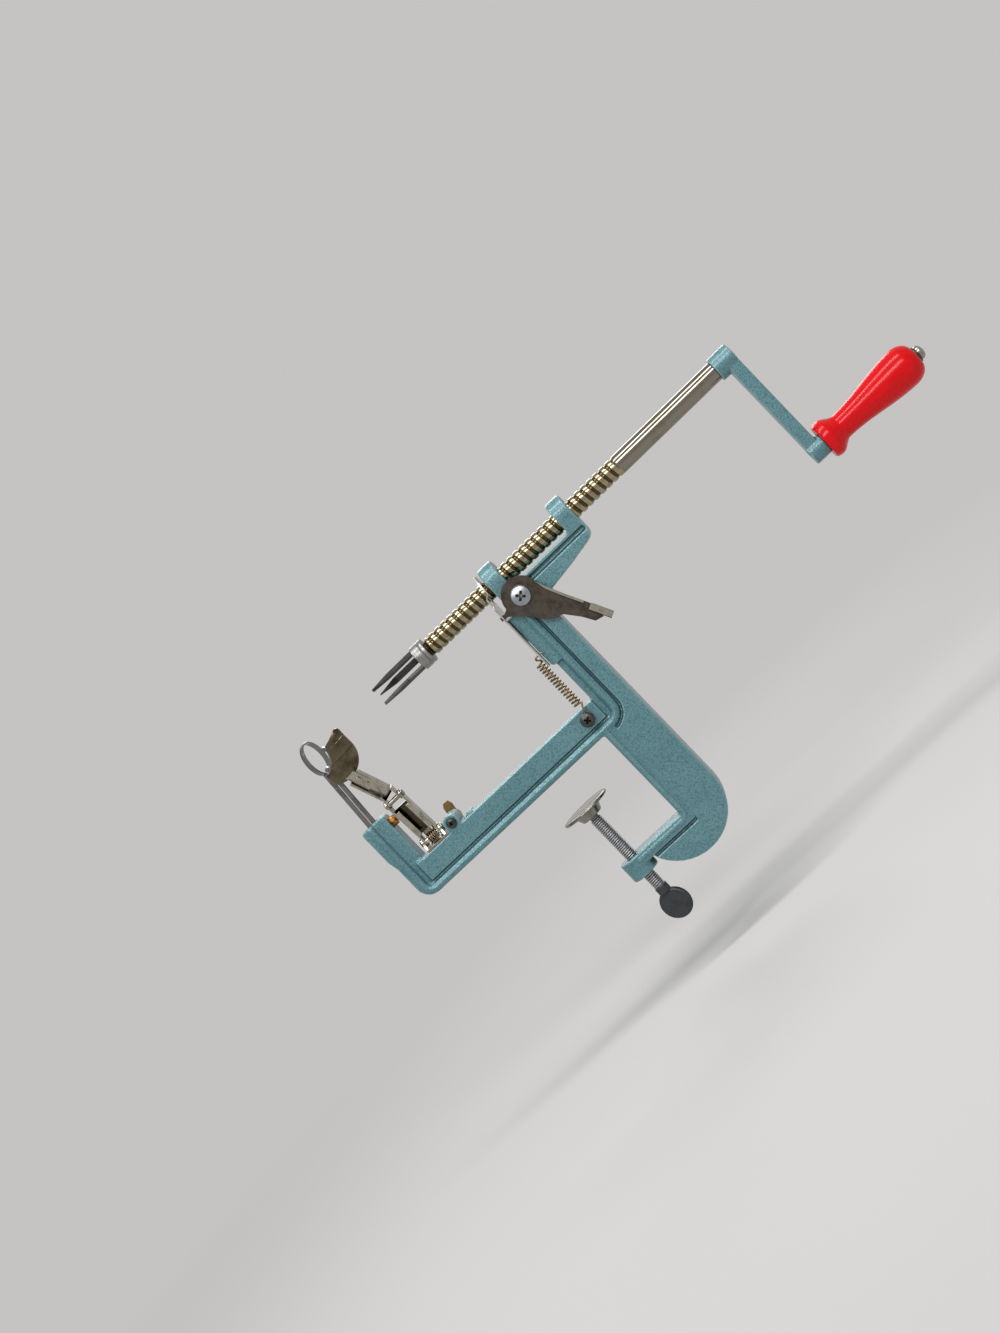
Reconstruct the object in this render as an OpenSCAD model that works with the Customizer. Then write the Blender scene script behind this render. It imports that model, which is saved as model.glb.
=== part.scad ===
// Hand-cranked apple peeler, corer and slicer with a table clamp.
// Millimetres. X runs along the feed shaft towards the crank, Z is up.
// The origin is on the arm's flat underside, above the clamp screw's axis.

/* [Frame] */
// Clamp screw axis to the inner face of the lower post
throat_depth = 40; // [36:1:54]
// Table seat down to the top of the jaw
throat_h = 65.5; // [58:0.5:80]
// Width of the lower post
post_w = 31; // [28:1:38]
// Width of the upper post
upper_post_w = 17; // [15:1:22]
// Thickness of the casting over its panels
frame_t = 18; // [16:0.5:24]
// Height of the arm
arm_h = 21; // [18:0.5:26]
// Clamp screw axis to the outer face of the upturned end
arm_reach = 108.5; // [106:0.5:130]
// Width of the upturned end
end_w = 16; // [15:0.5:20]
// Height of the upturned end above the table seat
end_h = 57.5; // [52:0.5:70]
// Thickness of the jaw beam
jaw_t = 7.5; // [6:0.5:10]
// Diameter of the jaw boss
jaw_boss_d = 19; // [16:0.5:24]
// Height of the jaw boss
jaw_boss_h = 13.5; // [11:0.5:18]
// Depth of the grooves beside the rims
groove_d = 2; // [1:0.25:3]
// Post to the outer face of the crank-side lug
bracket_len = 48; // [40:1:60]
// Width of a bearing lug
lug_w = 10.5; // [8:0.5:14]

/* [Feed shaft] */
// Shaft axis above the table seat
shaft_h = 110.5; // [104:0.5:125]
// Shaft diameter
shaft_d = 12.6; // [11:0.2:14]
// Thread pitch
thread_pitch = 5.08; // [4.6:0.02:5.6]
// Thread depth
thread_depth = 0.8; // [0.7:0.1:1.1]
// Shaft length from the fork collar to the crank hub
shaft_len = 237; // [230:1:260]
// Threaded part of the shaft
thread_len = 158; // [150:1:170]
// Fork collar diameter
collar_d = 17; // [16:0.5:19]
// Fork collar length
collar_len = 8.5; // [7:0.5:11]
// Length of the fork prongs
prong_len = 34; // [26:1:40]

/* [Crank] */
// Shaft axis to handle axis
crank_throw = 74.5; // [64:0.5:90]
// Thickness of the crank arm
crank_t = 8; // [6:0.5:11]
// Diameter of the crank hub
hub_d = 16; // [15:0.5:22]
// Length of the grip
grip_len = 71.5; // [60:0.5:90]
// Largest diameter of the grip
grip_d = 25.6; // [22:0.2:30]
// Diameter of the handle bolt
bolt_d = 6; // [5:0.5:8]

/* [Half nut and lever] */
// Thickness of the half-nut plate
plate_t = 1; // [0.8:0.1:1.2]
// Lift of the half-nut plate
plate_lift = 2.3; // [1.8:0.1:2.6]
// Radius of the lever's round head
lever_r = 12; // [11:0.5:13]
// Thickness of the lever
lever_t = 1.8; // [1.2:0.2:2.4]
// Lean of the lever from straight down, degrees
lever_lean = 33; // [30:1:36]
// Turns in the release spring
spring_turns = 15; // [12:1:15]
// Coil diameter of the release spring, over the wire
spring_od = 5.8; // [5.4:0.2:6.2]

/* [Clamp] */
// Diameter of the clamp screw
clamp_d = 7.94; // [7.2:0.02:9]
// Pitch of the clamp screw
clamp_pitch = 1.41; // [1.25:0.01:1.6]
// Top of the clamp pad below the table seat
pad_drop = 24; // [20:0.5:32]
// Diameter of the clamp pad
pad_d = 34; // [28:0.5:40]
// Diameter of the thumb paddle
paddle_d = 21; // [17:0.5:26]

/* [Slicing ring] */
// Outer diameter of the ring
ring_d = 24; // [22.5:0.5:27]
// Width of the ring's strip
strip_w = 3.4; // [3:0.2:4.2]
// Turn of the ring towards the front, degrees
ring_turn = 14; // [8:1:20]

/* [Peeling arm] */
// Hinge pin to knuckle
link_len = 33; // [28:0.5:38]
// Knuckle to the blade head's centre
blade_reach = 44; // [42:0.5:48]
// Lean of the arm towards the front at rest, degrees
peel_lean = 12; // [10:0.5:15]
// Lean of the upper arm towards the slicing ring, degrees
arm_lean = 17; // [15:0.5:18]
// Radius of the blade head
head_r = 16; // [14.5:0.5:17]

/* [Fits] */
// Radial running clearance of shafts and pins
run_gap = 0.08; // [0.04:0.01:0.1]
// Gap between pieces that lie on one another
lay_gap = 0.12; // [0.1:0.01:0.3]

/* [Hidden] */
$fn = 48;
ew = 0.01;

// Frame positions
panel_y = frame_t / 2;
rim_y = panel_y + 1;
groove_y = panel_y - groove_d;
post_x0 = throat_depth;
post_x1 = throat_depth + post_w;
upper_x0 = post_x1 - upper_post_w;
rib_x1 = upper_x0 + 5.2;
bead_r = 2.4;
bead_in = 2.8;
bead_y = panel_y - 1;
end_bead_x = 4.6;
end_turn = 6;
jaw_bead_r = 2.2;
jaw_bead_x = 2.5;
jaw_turn = 4.5;
jaw_z = -throat_h;
foot_z = jaw_z + 3.5;
end_x0 = -arm_reach;
end_x1 = end_x0 + end_w;
panel_x0 = end_x0 + 11;
panel_x1 = upper_x0 - 5;
rim_h = 5.5;
groove_w = 2;
pad_face_x = upper_x0 - 7.2;
lug_a_x0 = upper_x0 - 2;
lug_a_x1 = lug_a_x0 + lug_w;
lug_b_x1 = post_x1 + bracket_len;
lug_b_x0 = lug_b_x1 - lug_w;
shaft_r = shaft_d / 2;
lug_r = shaft_r + 4.7;
lug_rise = 2;
bracket_z = shaft_h - 8;
bore_r = shaft_r + run_gap;
turn_r = 10.8;
turn_x = rib_x1 - turn_r;

// Lever and half nut
pivot_x = lug_a_x1 + 0.5;
pivot_z = shaft_h - 15.7;
lever_y1 = -(max(lug_r, rim_y) + 0.6);
lever_y0 = lever_y1 - lever_t;
pivot_shank_r = 3;
pivot_head_r = 6.4;
tab_r = 2.4;
tab_t = 1.1;
tab_h = 14.5;
tab_x = 1.5;
tab_z = 55.5;
tab_turn = 7;
fold_z0 = 12.6;
fold_z1 = 25.6;
fold_z2 = 37;
tip_z0 = 46.4;
tip_z1 = 48;
tip_z2 = 50.4;
plate_x1 = pad_face_x - 0.3;
plate_x0 = plate_x1 - plate_t;
plate_jog = 3;
plate_top = shaft_h + 11.5;
plate_drop = 57.5;
plate_bottom = shaft_h - plate_drop;
plate_neck = 40;
plate_shoulder = 28;
shoulder_y = 7;
plate_front = lever_y0 - 1.8;
nose_x = plate_x0 - 1.2;
nose_z = pivot_z - 2.4;
nose_h = 2.6;
slot_gap = 0.35;
tooth_in = thread_depth - 0.3;
hole_r = shaft_r + 1.2;
tooth_w = 1.8;
crest_end = 0.6;
root_start = 0.66;
root_end = 0.94;
groove_x = plate_x0 + plate_jog + plate_t / 2;

// Release spring
wire_d = 1;
spring_r = (spring_od - wire_d) / 2;
anchor_x = throat_depth;
anchor_z = 14;
anchor_r = 2.1;
spring_x = anchor_x + 2.3;
spring_y = -(panel_y + 2.4);
spring_z0 = arm_h + 3;
hook_z = shaft_h - 48.5;
spring_z1 = hook_z - 4;

// Shaft train
collar_x1 = -1.5;
collar_x0 = collar_x1 - collar_len;
journal_r = 4.5;
fork_disc_t = 2.4;
fork_x1 = collar_x0 + 3;
fork_x0 = fork_x1 - fork_disc_t;
prong_circle = collar_d / 2 - 2.3;
hub_x0 = collar_x1 + shaft_len;
crank_x0 = hub_x0 + 6;
crank_x1 = crank_x0 + crank_t;
knob_x = crank_x1 + 2.6;
handle_z = shaft_h - crank_throw;
seat_r = shaft_r - 1.3;
grip_x0 = knob_x + lay_gap;
grip_x1 = grip_x0 + grip_len;
bolt_r = bolt_d / 2;
washer_x1 = grip_x1 + lay_gap + 1;

// Clamp
clamp_r = clamp_d / 2;
pad_top = -pad_drop;
pad_flange = 2;
cup_h = 5.5;
button_r = clamp_r + 1.3;
cup_r = clamp_r + 3.2;
neck_r = clamp_r - 1;
clamp_bottom = jaw_z - 26;
paddle_z = clamp_bottom - paddle_d / 2 - 2.5;
paddle_t = 4.2;
paddle_turn = 20;

// Slicing ring
strip_t = 1;
ring_r = ring_d / 2;
ring_x = end_x0 + 5.3;
ring_lean = 3.5;
leg_y = 3.6;
stud_z = end_h - 7.5;
stud_r = 2;
strap_z = stud_z - stud_r - 0.35 - strip_t;
pocket_gap = 0.15;

// Peeling arm
peel_x = end_x0 + 28.7;
pin_r = 2;
pin_z = arm_h + 6;
base_t = 1.5;
foot_x = peel_x + 4.2;
foot_y = 4.8;
ear_t = 1.4;
bracket_w = 16;
wall_t = 1.2;
link_w = bracket_w - 2 * ear_t - 0.5;
lip_x = 2.8;
link_y0 = -3.2;
link_y1 = 3.4;
upper_w = link_w - 2 * wall_t - 0.4;
knuckle_r = 1.6;
arm_start = 4.5;
arm_len = blade_reach - arm_start - 15.5;
head_z = link_len + blade_reach;
head_x = peel_x - 8.6;
torsion_r = pin_r + 0.8;
knob_r = 1.5;
dome_r = 30;
dome_y = 26.6;
rim_up = 12.6;
rim_low = 9.4;
head_cut = 9.5;

// Stop boss
boss_x = end_x0 + 44.5;
boss_z = arm_h + 4;
boss_r = 5.4;
stop_head_r = 3.2;
stop_r = 2.5;

// Prisms and rods named after the axis they run along
module slab(y0, y1) translate([0, y1, 0]) rotate([90, 0, 0]) linear_extrude(y1 - y0) children();

module bar_x(x0, x1) translate([x0, 0, 0]) rotate([90, 0, 90]) linear_extrude(x1 - x0) children();

module rod_x(r, x0, x1, y, z) translate([x0, y, z]) rotate([0, 90, 0]) cylinder(r = r, h = x1 - x0);

module rod_y(r, y0, y1, x, z) translate([x, y1, z]) rotate([90, 0, 0]) cylinder(r = r, h = y1 - y0);

module rod_z(r, z0, z1, x, y) translate([x, y, z0]) cylinder(r = r, h = z1 - z0);

module block(x0, x1, y0, y1, z0, z1) translate([x0, y0, z0]) cube([x1 - x0, y1 - y0, z1 - z0]);

module rect(x0, x1, z0, z1) translate([x0, z0]) square([x1 - x0, z1 - z0]);

module spot(x, z, r) translate([x, z]) circle(r);

// What is cut away to round a corner at (x, z) whose body lies towards (sx, sz)
module corner_cut(x, z, r, sx, sz) translate([x + sx * r, z + sz * r]) difference() {
  rect(min(0, -sx * (r + 1)), max(0, -sx * (r + 1)), min(0, -sz * (r + 1)), max(0, -sz * (r + 1)));
  circle(r);
}

// Domed head along -Y with a cross recess, its flat side at y
module cross_head(x, y, z, r, h, turn) difference() {
  union() {
    rod_y(r, y - h * 0.55, y, x, z);
    intersection() {
      translate([x, y - h + (r * r + h * h) / (2 * h), z]) sphere((r * r + h * h) / (2 * h));
      rod_y(r, y - h, y - h * 0.5, x, z);
    }
  }
  translate([x, y - h, z]) rotate([0, turn, 0]) {
    cube([r * 1.05, h * 0.9, r * 0.22], center = true);
    cube([r * 0.22, h * 0.9, r * 1.05], center = true);
  }
}

// Sum of a helical screw surface: profile rows of [share of the pitch, radius], seg steps a turn
module screw_thread(pitch, turns, profile, seg) {
  n = len(profile);
  last = round(turns * seg);
  body = [for (k = [0 : last]) for (q = profile)
    [q[1] * cos(360 * k / seg), q[1] * sin(360 * k / seg), pitch * (k / seg + q[0])]];
  tail = [for (k = [last + 1 : last + seg])
    [profile[0][1] * cos(360 * k / seg), profile[0][1] * sin(360 * k / seg), pitch * k / seg]];
  low = len(body) + len(tail);
  ends = [[0, 0, pitch * 0.8], [0, 0, pitch * (turns + 0.8)]];
  skin = [for (k = [0 : last - 1]) for (p = [0 : n - 1]) for (half = [0, 1])
    half == 0 ? [vid(k, p, n, last, seg), vid(k, p + 1, n, last, seg), vid(k + 1, p, n, last, seg)]
              : [vid(k + 1, p, n, last, seg), vid(k, p + 1, n, last, seg), vid(k + 1, p + 1, n, last, seg)]];
  rows = n > 2 ? concat([n], [for (p = [n - 1 : -1 : 2]) p], [0]) : [n, 1, 0];
  polyhedron(concat(body, tail, ends), concat(skin,
    [for (k = [0 : seg - 1]) [low, vid(k, 0, n, last, seg), vid(k + 1, 0, n, last, seg)]],
    [for (i = [0 : len(rows) - 2]) [low, i == 0 ? vid(seg, 0, n, last, seg) : rows[i], rows[i + 1]]],
    n > 2 ? [[2, 1, 0]] : [],
    [for (k = [last : last + seg - 1]) [low + 1, vid(k + 1, 0, n, last, seg), vid(k, 0, n, last, seg)]],
    [for (i = [0 : len(rows) - 2]) [low + 1, last * n + rows[i + 1], i == 0 ? vid(last + seg, 0, n, last, seg) : last * n + rows[i]]],
    n > 2 ? [[last * n, last * n + 1, last * n + 2]] : []));
}

// Number of the point on step k and profile row p, where row n is row 0 a turn later
function vid(k, p, n, last, seg) = let(kk = p == n ? k + seg : k, pp = p == n ? 0 : p)
  kk <= last ? kk * n + pp : (last + 1) * n + kk - last - 1;

// One round tube of six sides along a path
function unit(v) = v / norm(v);
function way(p, i) = unit(p[min(i + 1, len(p) - 1)] - p[max(i - 1, 0)]);
function flat(v, t) = unit(v - (v * t) * t);

module tube(path, d, first) {
  n = len(path);
  side = [for (i = 0, u = flat(first, way(path, 0)); i < n; i = i + 1, u = i < n ? flat(u, way(path, i)) : u) u];
  ring = [for (i = [0 : n - 1]) for (a = [0 : 60 : 300])
    path[i] + d / 2 * (cos(a) * side[i] + sin(a) * cross(way(path, i), side[i]))];
  skin = [for (i = [0 : n - 2]) for (a = [0 : 5]) for (half = [0, 1])
    half == 0 ? [i * 6 + a, (i + 1) * 6 + a, (i + 1) * 6 + (a + 1) % 6] : [i * 6 + a, (i + 1) * 6 + (a + 1) % 6, i * 6 + (a + 1) % 6]];
  polyhedron(ring, concat(skin, [[for (a = [0 : 5]) a]], [[for (a = [5 : -1 : 0]) (n - 1) * 6 + a]]));
}

// Least gap of a wire to itself, on points at least skip steps apart
function least_gap(p, d, skip) = min([for (i = [0 : len(p) - 1]) for (j = [i + skip : 1 : len(p) - 1]) norm(p[i] - p[j])]) - d;

// Frame
module frame_outline() difference() {
  union() {
    rect(post_x0, post_x1, foot_z, arm_h);
    intersection() {
      spot(post_x0, foot_z, post_w);
      union() {
        rect(post_x0 - post_w, post_x0 + 1, foot_z - post_w, jaw_z - jaw_t / 2);
        rect(post_x0, post_x1, foot_z - post_w, foot_z + ew);
      }
    }
    rect(end_x0, upper_x0 + 1, 0, arm_h);
    rect(end_x0, end_x1, 0, end_h);
    polygon([[end_x0 + 1, 26], [end_x0, 27], [end_x0 - 1.5, 34], [end_x0 - 1.5, end_h - 1.5], [end_x0, end_h], [end_x0 + 1, end_h]]);
    rect(upper_x0, post_x1, 0, bracket_z);
    rect(upper_x0 - 4.5, upper_x0 + 1, 0, bracket_z - 14);
    rect(pad_face_x, upper_x0 + 1, bracket_z - 51.5, bracket_z - 12.5);
    polygon([[post_x1 - 1, bracket_z - 24], [post_x1 + 2, bracket_z - 19.5], [post_x1 + 7, bracket_z - 17.6],
      [post_x1 + bracket_len * 0.55, bracket_z - 15], [lug_b_x1 - 6, bracket_z - 12.1], [lug_b_x1 - 3, bracket_z - 11.1],
      [lug_b_x1 - 1.2, bracket_z - 9.7], [lug_b_x1 - 0.3, bracket_z - 7.9], [lug_b_x1, bracket_z - 6], [lug_b_x1, bracket_z - 1], [post_x1 - 1, bracket_z - 1]]);
  }
  corner_cut(end_x0, 0, 10, 1, 1);
  corner_cut(end_x1, end_h, 3, -1, -1);
  corner_cut(pad_face_x, bracket_z - 51.5, 2.5, 1, 1);
}

// A quarter turn of round bead in the XZ plane about (x, z), from angle a
module bead_turn(x, z, turn, r, a) translate([x, 0, z]) rotate([90, -a, 0]) rotate_extrude(angle = 90) translate([turn, 0]) circle(r);

// Round beads along the inner edges, on one face
module bead() {
  low_x = end_x0 + end_bead_x + end_turn;
  low_z = bead_in + end_turn;
  rod_z(bead_r, low_z, end_h - 0.6, end_x0 + end_bead_x, 0);
  bead_turn(low_x, low_z, end_turn, bead_r, 180);
  rod_x(bead_r, low_x, turn_x, 0, bead_in);
  bead_turn(turn_x, turn_r, turn_r - bead_in, bead_r, 270);
  rod_z(bead_r, turn_r, bracket_z - 1, rib_x1 - bead_in, 0);
  jaw_bead_z = jaw_z - jaw_t / 2;
  rod_z(jaw_bead_r, jaw_bead_z + jaw_turn, 1, post_x0 + jaw_bead_x, 0);
  bead_turn(post_x0 + jaw_bead_x - jaw_turn, jaw_bead_z + jaw_turn, jaw_turn, jaw_bead_r, 270);
  rod_x(jaw_bead_r, 3, post_x0 + jaw_bead_x - jaw_turn, 0, jaw_bead_z);
}

// Sunken grooves beside the beads
module groove_outline() {
  rect(panel_x0, panel_x1, rim_h, rim_h + groove_w);
  difference() {
    rect(panel_x1, upper_x0, rim_h, bracket_z - 51.5 + ew);
    corner_cut(upper_x0, rim_h, 4, -1, 1);
  }
  rect(upper_x0 - 5, upper_x0, arm_h, bracket_z - 51.5 + ew);
  rect(rib_x1, rib_x1 + groove_w, turn_r, bracket_z - 6);
  intersection() {
    difference() {
      spot(turn_x, turn_r, turn_r + groove_w);
      spot(turn_x, turn_r, turn_r);
    }
    rect(turn_x, rib_x1 + groove_w + 1, -groove_w - 1, turn_r);
  }
  rect(post_x0 + 4.6, post_x0 + 6, jaw_z - jaw_t - groove_w, 0);
  rect(post_x0 - post_w, post_x0 + 4.6 + ew, jaw_z - jaw_t - groove_w, jaw_z - jaw_t);
  rect(rib_x1, lug_b_x1 - 1, bracket_z - 6, bracket_z - 2.5);
  rect(end_x0 + 6, panel_x0, rim_h, end_h + 1);
  rect(panel_x0 - ew, end_x1 + 1, arm_h + 0.5, end_h + 1);
}

module lug_outline() {
  spot(0, shaft_h + lug_rise, lug_r);
  polygon([[-lug_r, shaft_h + lug_rise], [lug_r, shaft_h + lug_rise], [lug_r, shaft_h], [rim_y, bracket_z - 2],
    [-rim_y, bracket_z - 2], [-lug_r, shaft_h]]);
}

// The slicing ring stands turned and leant on its foot
module on_foot() translate([ring_x, 0, strap_z]) rotate([0, ring_lean, 0]) rotate([0, 0, -ring_turn])
  translate([0, 0, -strap_z]) children();

// Room for the foot of the slicing ring
module ring_pocket() on_foot()
  block(-strip_w / 2 - pocket_gap, strip_w / 2 + pocket_gap, -leg_y - strip_t / 2 - pocket_gap,
    leg_y + strip_t / 2 + pocket_gap, strap_z - pocket_gap, end_h + 2);

module frame_casting() color("#5b9099") difference() {
  union() {
    difference() {
      slab(-panel_y, panel_y) frame_outline();
      slab(-panel_y - 1, -groove_y) groove_outline();
      slab(groove_y, panel_y + 1) groove_outline();
    }
    for (s = [-1, 1]) translate([0, s * bead_y, 0]) bead();
    slab(-rim_y, rim_y) rect(upper_x0, lug_b_x1, bracket_z - 2.5, bracket_z);
    bar_x(lug_a_x0, lug_a_x1) lug_outline();
    bar_x(lug_b_x0, lug_b_x1) lug_outline();
    rod_z(jaw_boss_d / 2, jaw_z - jaw_boss_h, jaw_z, 0, 0);
    block(0, post_x0 + 2, -jaw_boss_d / 2, jaw_boss_d / 2, jaw_z - jaw_t, jaw_z);
    rod_y(boss_r, -panel_y, panel_y, boss_x, boss_z);
    rod_y(3, -5, 5, boss_x + 11.5, arm_h - 0.5);
    rod_y(8, lever_y1 + lay_gap, -groove_y + 1, pivot_x, pivot_z);
  }
  rod_x(bore_r, lug_a_x0 - 1, lug_b_x1 + 1, 0, shaft_h);
  rod_z(clamp_r + run_gap, jaw_z - jaw_boss_h - 1, jaw_z + 1, 0, 0);
  rod_y(pivot_shank_r + 0.05, lever_y1 - 1, 4, pivot_x, pivot_z);
  rod_y(anchor_r + 0.05, -panel_y - 1, 0, anchor_x, anchor_z);
  ring_pocket();
  rod_x(stud_r + 0.05, end_x0 + 1, end_x1 + 1, 0, stud_z);
  rod_y(stop_r + 0.05, -panel_y - 1, panel_y + 1, boss_x, boss_z);
  for (s = [-1, 1]) rod_z(1.25, arm_h - 8, arm_h + 1, foot_x, s * foot_y);
}

// Shaft, fork and crank
module feed_shaft() color("#b9ad90") union() {
  start = collar_x1 + 0.8;
  turns = floor((thread_len - 0.8) / thread_pitch * 16) / 16;
  turn = (groove_x - start) / thread_pitch;
  translate([start, 0, shaft_h]) rotate([0, 90, 0]) rotate([0, 0, 180 - 360 * (turn - floor(turn)) + 180 * (root_start + root_end)])
    screw_thread(thread_pitch, turns,
      [[0, shaft_r - 0.04], [crest_end, shaft_r - 0.04], [root_start, shaft_r - thread_depth], [root_end, shaft_r - thread_depth]], 16);
  rod_x(shaft_r - thread_depth - 0.3, collar_x1 + lay_gap, start + thread_pitch * 1.2, 0, shaft_h);
  rod_x(journal_r, fork_x0 - 0.2, collar_x1 + 1, 0, shaft_h);
  rod_x(shaft_r, start + thread_pitch * turns, hub_x0, 0, shaft_h);
  rod_x(seat_r, hub_x0 - 1, crank_x1 + 0.4, 0, shaft_h);
}

module fork_collar() color("#b5b7b8") difference() {
  rod_x(collar_d / 2, collar_x0, collar_x1, 0, shaft_h);
  rod_x(journal_r + run_gap, collar_x0 - 1, collar_x1 + 1, 0, shaft_h);
  rod_x(collar_d / 2 - 0.8, collar_x0 - 1, fork_x1 + 0.1, 0, shaft_h);
}

module apple_fork() color("#3c3a38") difference() {
  union() {
    rod_x(collar_d / 2 - 0.8 - lay_gap, fork_x0, fork_x1, 0, shaft_h);
    for (i = [0 : 2]) translate([0, 0, shaft_h]) rotate([34 + 120 * i, 0, 0]) translate([0, 0, prong_circle])
      linear_extrude(1.8, center = true) polygon([[fork_x0 + 1, -2.1], [fork_x0 + 1, 2.1], [fork_x0 - prong_len * 0.62, 2.1],
        [fork_x0 - prong_len, 0.4], [fork_x0 - prong_len, -0.4], [fork_x0 - prong_len * 0.62, -2.1]]);
  }
  rod_x(journal_r + 0.05, fork_x0 - 1, fork_x1 + 1, 0, shaft_h);
}

module crank_arm() color("#5b9099") difference() {
  union() {
    rod_x(hub_d / 2, hub_x0 + lay_gap, crank_x0 + 1, 0, shaft_h);
    bar_x(crank_x0, crank_x1) {
      spot(0, shaft_h, hub_d / 2);
      spot(0, handle_z, 7);
      polygon([[-hub_d / 2 + 1.2, shaft_h], [hub_d / 2 - 1.2, shaft_h], [5.6, handle_z], [-5.6, handle_z]]);
    }
    rod_x(7, crank_x1 - 1, knob_x, 0, handle_z);
  }
  rod_x(seat_r + 0.05, hub_x0 - 1, crank_x1 + 1, 0, shaft_h);
  rod_x(bolt_r + 0.05, crank_x0 - 1, knob_x + 1, 0, handle_z);
}

// Radius of the grip at a share of its length
function grip_r(t) = let(big = grip_d / 2)
  t < 0.06 ? big * (0.90 + 0.07 * sin(90 * t / 0.06)) :
  t < 0.19 ? big * (0.80 + 0.17 * cos(180 * (t - 0.06) / 0.13)) :
  t < 0.86 ? big * (0.815 - 0.185 * cos(180 * (t - 0.19) / 0.67)) :
  big * (0.42 + 0.58 * sqrt(max(0, 1 - pow((t - 0.86) / 0.14, 2))));

module handle_grip() color("#b3131b") translate([grip_x0, 0, handle_z]) rotate([0, 90, 0]) rotate_extrude()
  polygon(concat([[bolt_r + run_gap, 0]], [for (i = [0 : 36]) [grip_r(i / 36), grip_len * i / 36]], [[bolt_r + run_gap, grip_len]]));

module grip_washer() color("#2d2d2f") difference() {
  rod_x(grip_d / 2 * 0.42 - 0.1, grip_x1 + lay_gap, washer_x1, 0, handle_z);
  rod_x(bolt_r + 0.05, grip_x1, washer_x1 + 1, 0, handle_z);
}

module handle_bolt() color("#c9cacb") translate([0, 0, handle_z]) rotate([0, 90, 0]) rotate_extrude() polygon(concat(
  [[0, crank_x0 + 1], [bolt_r, crank_x0 + 1], [bolt_r, washer_x1 + lay_gap], [4.5, washer_x1 + lay_gap], [4.5, washer_x1 + 1.6]],
  [for (a = [15 : 15 : 75]) [4.5 * cos(a), washer_x1 + 1.6 + 2.6 * sin(a)]], [[0, washer_x1 + 4.2]]));

// Half nut, lever and release spring
module half_nut_plate() color("#b9babc") difference() {
  intersection() {
    slab(plate_front - 1, lug_r + 1) polygon([[plate_x0, plate_bottom], [plate_x1, plate_bottom], [plate_x1, shaft_h - 3.5],
      [plate_x1 + plate_jog, shaft_h - 1], [plate_x1 + plate_jog, plate_top], [plate_x0 + plate_jog, plate_top],
      [plate_x0 + plate_jog, shaft_h - 1], [plate_x0, shaft_h - 3.5]]);
    bar_x(plate_x0 - 1, plate_x1 + plate_jog + 1) {
      polygon([[plate_front, plate_bottom], [spring_y + 3, plate_bottom], [spring_y + 3, shaft_h - plate_neck], [shoulder_y, shaft_h - plate_shoulder],
        [hole_r + 2.6, shaft_h - 12], [hole_r + 2.6, shaft_h + 5], [hole_r - 1, plate_top], [1 - hole_r, plate_top],
        [-hole_r - 2.6, shaft_h + 5], [-hole_r - 2.6, shaft_h - 9], [plate_front, shaft_h - 11]]);
    }
  }
  bar_x(plate_x0 - 1, plate_x1 + plate_jog + 1) difference() {
    union() {
      spot(0, shaft_h - 0.2, hole_r);
      spot(0, shaft_h - plate_lift, hole_r);
      rect(-hole_r, hole_r, shaft_h - plate_lift, shaft_h - 0.2);
    }
    rect(-tooth_w / 2, tooth_w / 2, shaft_h + shaft_r - tooth_in, shaft_h + hole_r + 1);
  }
  block(plate_x0 - 1, plate_x1 + 1, lever_y0 - slot_gap, lever_y1 + slot_gap, nose_z - nose_h / 2 - slot_gap, nose_z + nose_h / 2 + slot_gap);
  rod_x(wire_d / 2 + 0.7, plate_x0 - 1, plate_x1 + 1, spring_y, hook_z);
}

module lever_outline() {
  polygon([[nose_x, nose_z - nose_h / 2], [plate_x1 + 2, nose_z - nose_h / 2], [pivot_x - 7, pivot_z - lever_r + 1.5],
    [pivot_x, pivot_z], [pivot_x - 7, pivot_z + 3], [plate_x1 + 2, nose_z + nose_h / 2], [nose_x, nose_z + nose_h / 2]]);
  translate([pivot_x, pivot_z]) rotate(lever_lean) {
    circle(lever_r);
    polygon([[lever_r - 0.3, 1.5], [8.6, -13.6], [6.7, -fold_z1], [5.2, tip_z0 * -0.86], [3.4, -tip_z1], [-0.8, -tip_z2], [-4.4, -tip_z0], [-4, tip_z0 * -0.82],
      [-5, tip_z0 * -0.58], [-8.4, -22.6], [-10.6, -17], [-10.6, -9], [-lever_r + 0.8, -2]]);
  }
}

module release_lever() color("#aeb0b2") difference() {
  union() {
    slab(lever_y0, lever_y1) lever_outline();
    translate([pivot_x, 0, pivot_z]) rotate([0, -lever_lean, 0]) {
      slab(lever_y0 - 2.6, lever_y0 + 0.5) polygon([[10.2, -fold_z0 / 2], [9, -fold_z0], [7.1, -fold_z1], [5.8, -fold_z2], [4.4, -fold_z2],
        [5.6, -fold_z1], [7.5, -fold_z0 - 0.4]]);
      translate([tab_x, lever_y1 - tab_r, -tab_z]) rotate([0, tab_turn, 0]) linear_extrude(tab_h) difference() {
        circle(tab_r);
        circle(tab_r - tab_t);
        translate([-tab_r - 1, 0]) square([tab_r, 0.7]);
      }
    }
  }
  rod_y(pivot_shank_r + run_gap, lever_y0 - 1, lever_y1 + 1, pivot_x, pivot_z);
}

module lever_screw() color("#a3a6a8") union() {
  cross_head(pivot_x, lever_y0 - lay_gap, pivot_z, pivot_head_r, 3.4, 20);
  rod_y(pivot_shank_r, lever_y0 - 1, 3, pivot_x, pivot_z);
}

module spring_screw() color("#9a9d9f") union() {
  cross_head(anchor_x, spring_y - 0.9, anchor_z, 4.5, 3, 40);
  rod_y(anchor_r, spring_y - 1.6, -1, anchor_x, anchor_z);
}

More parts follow.
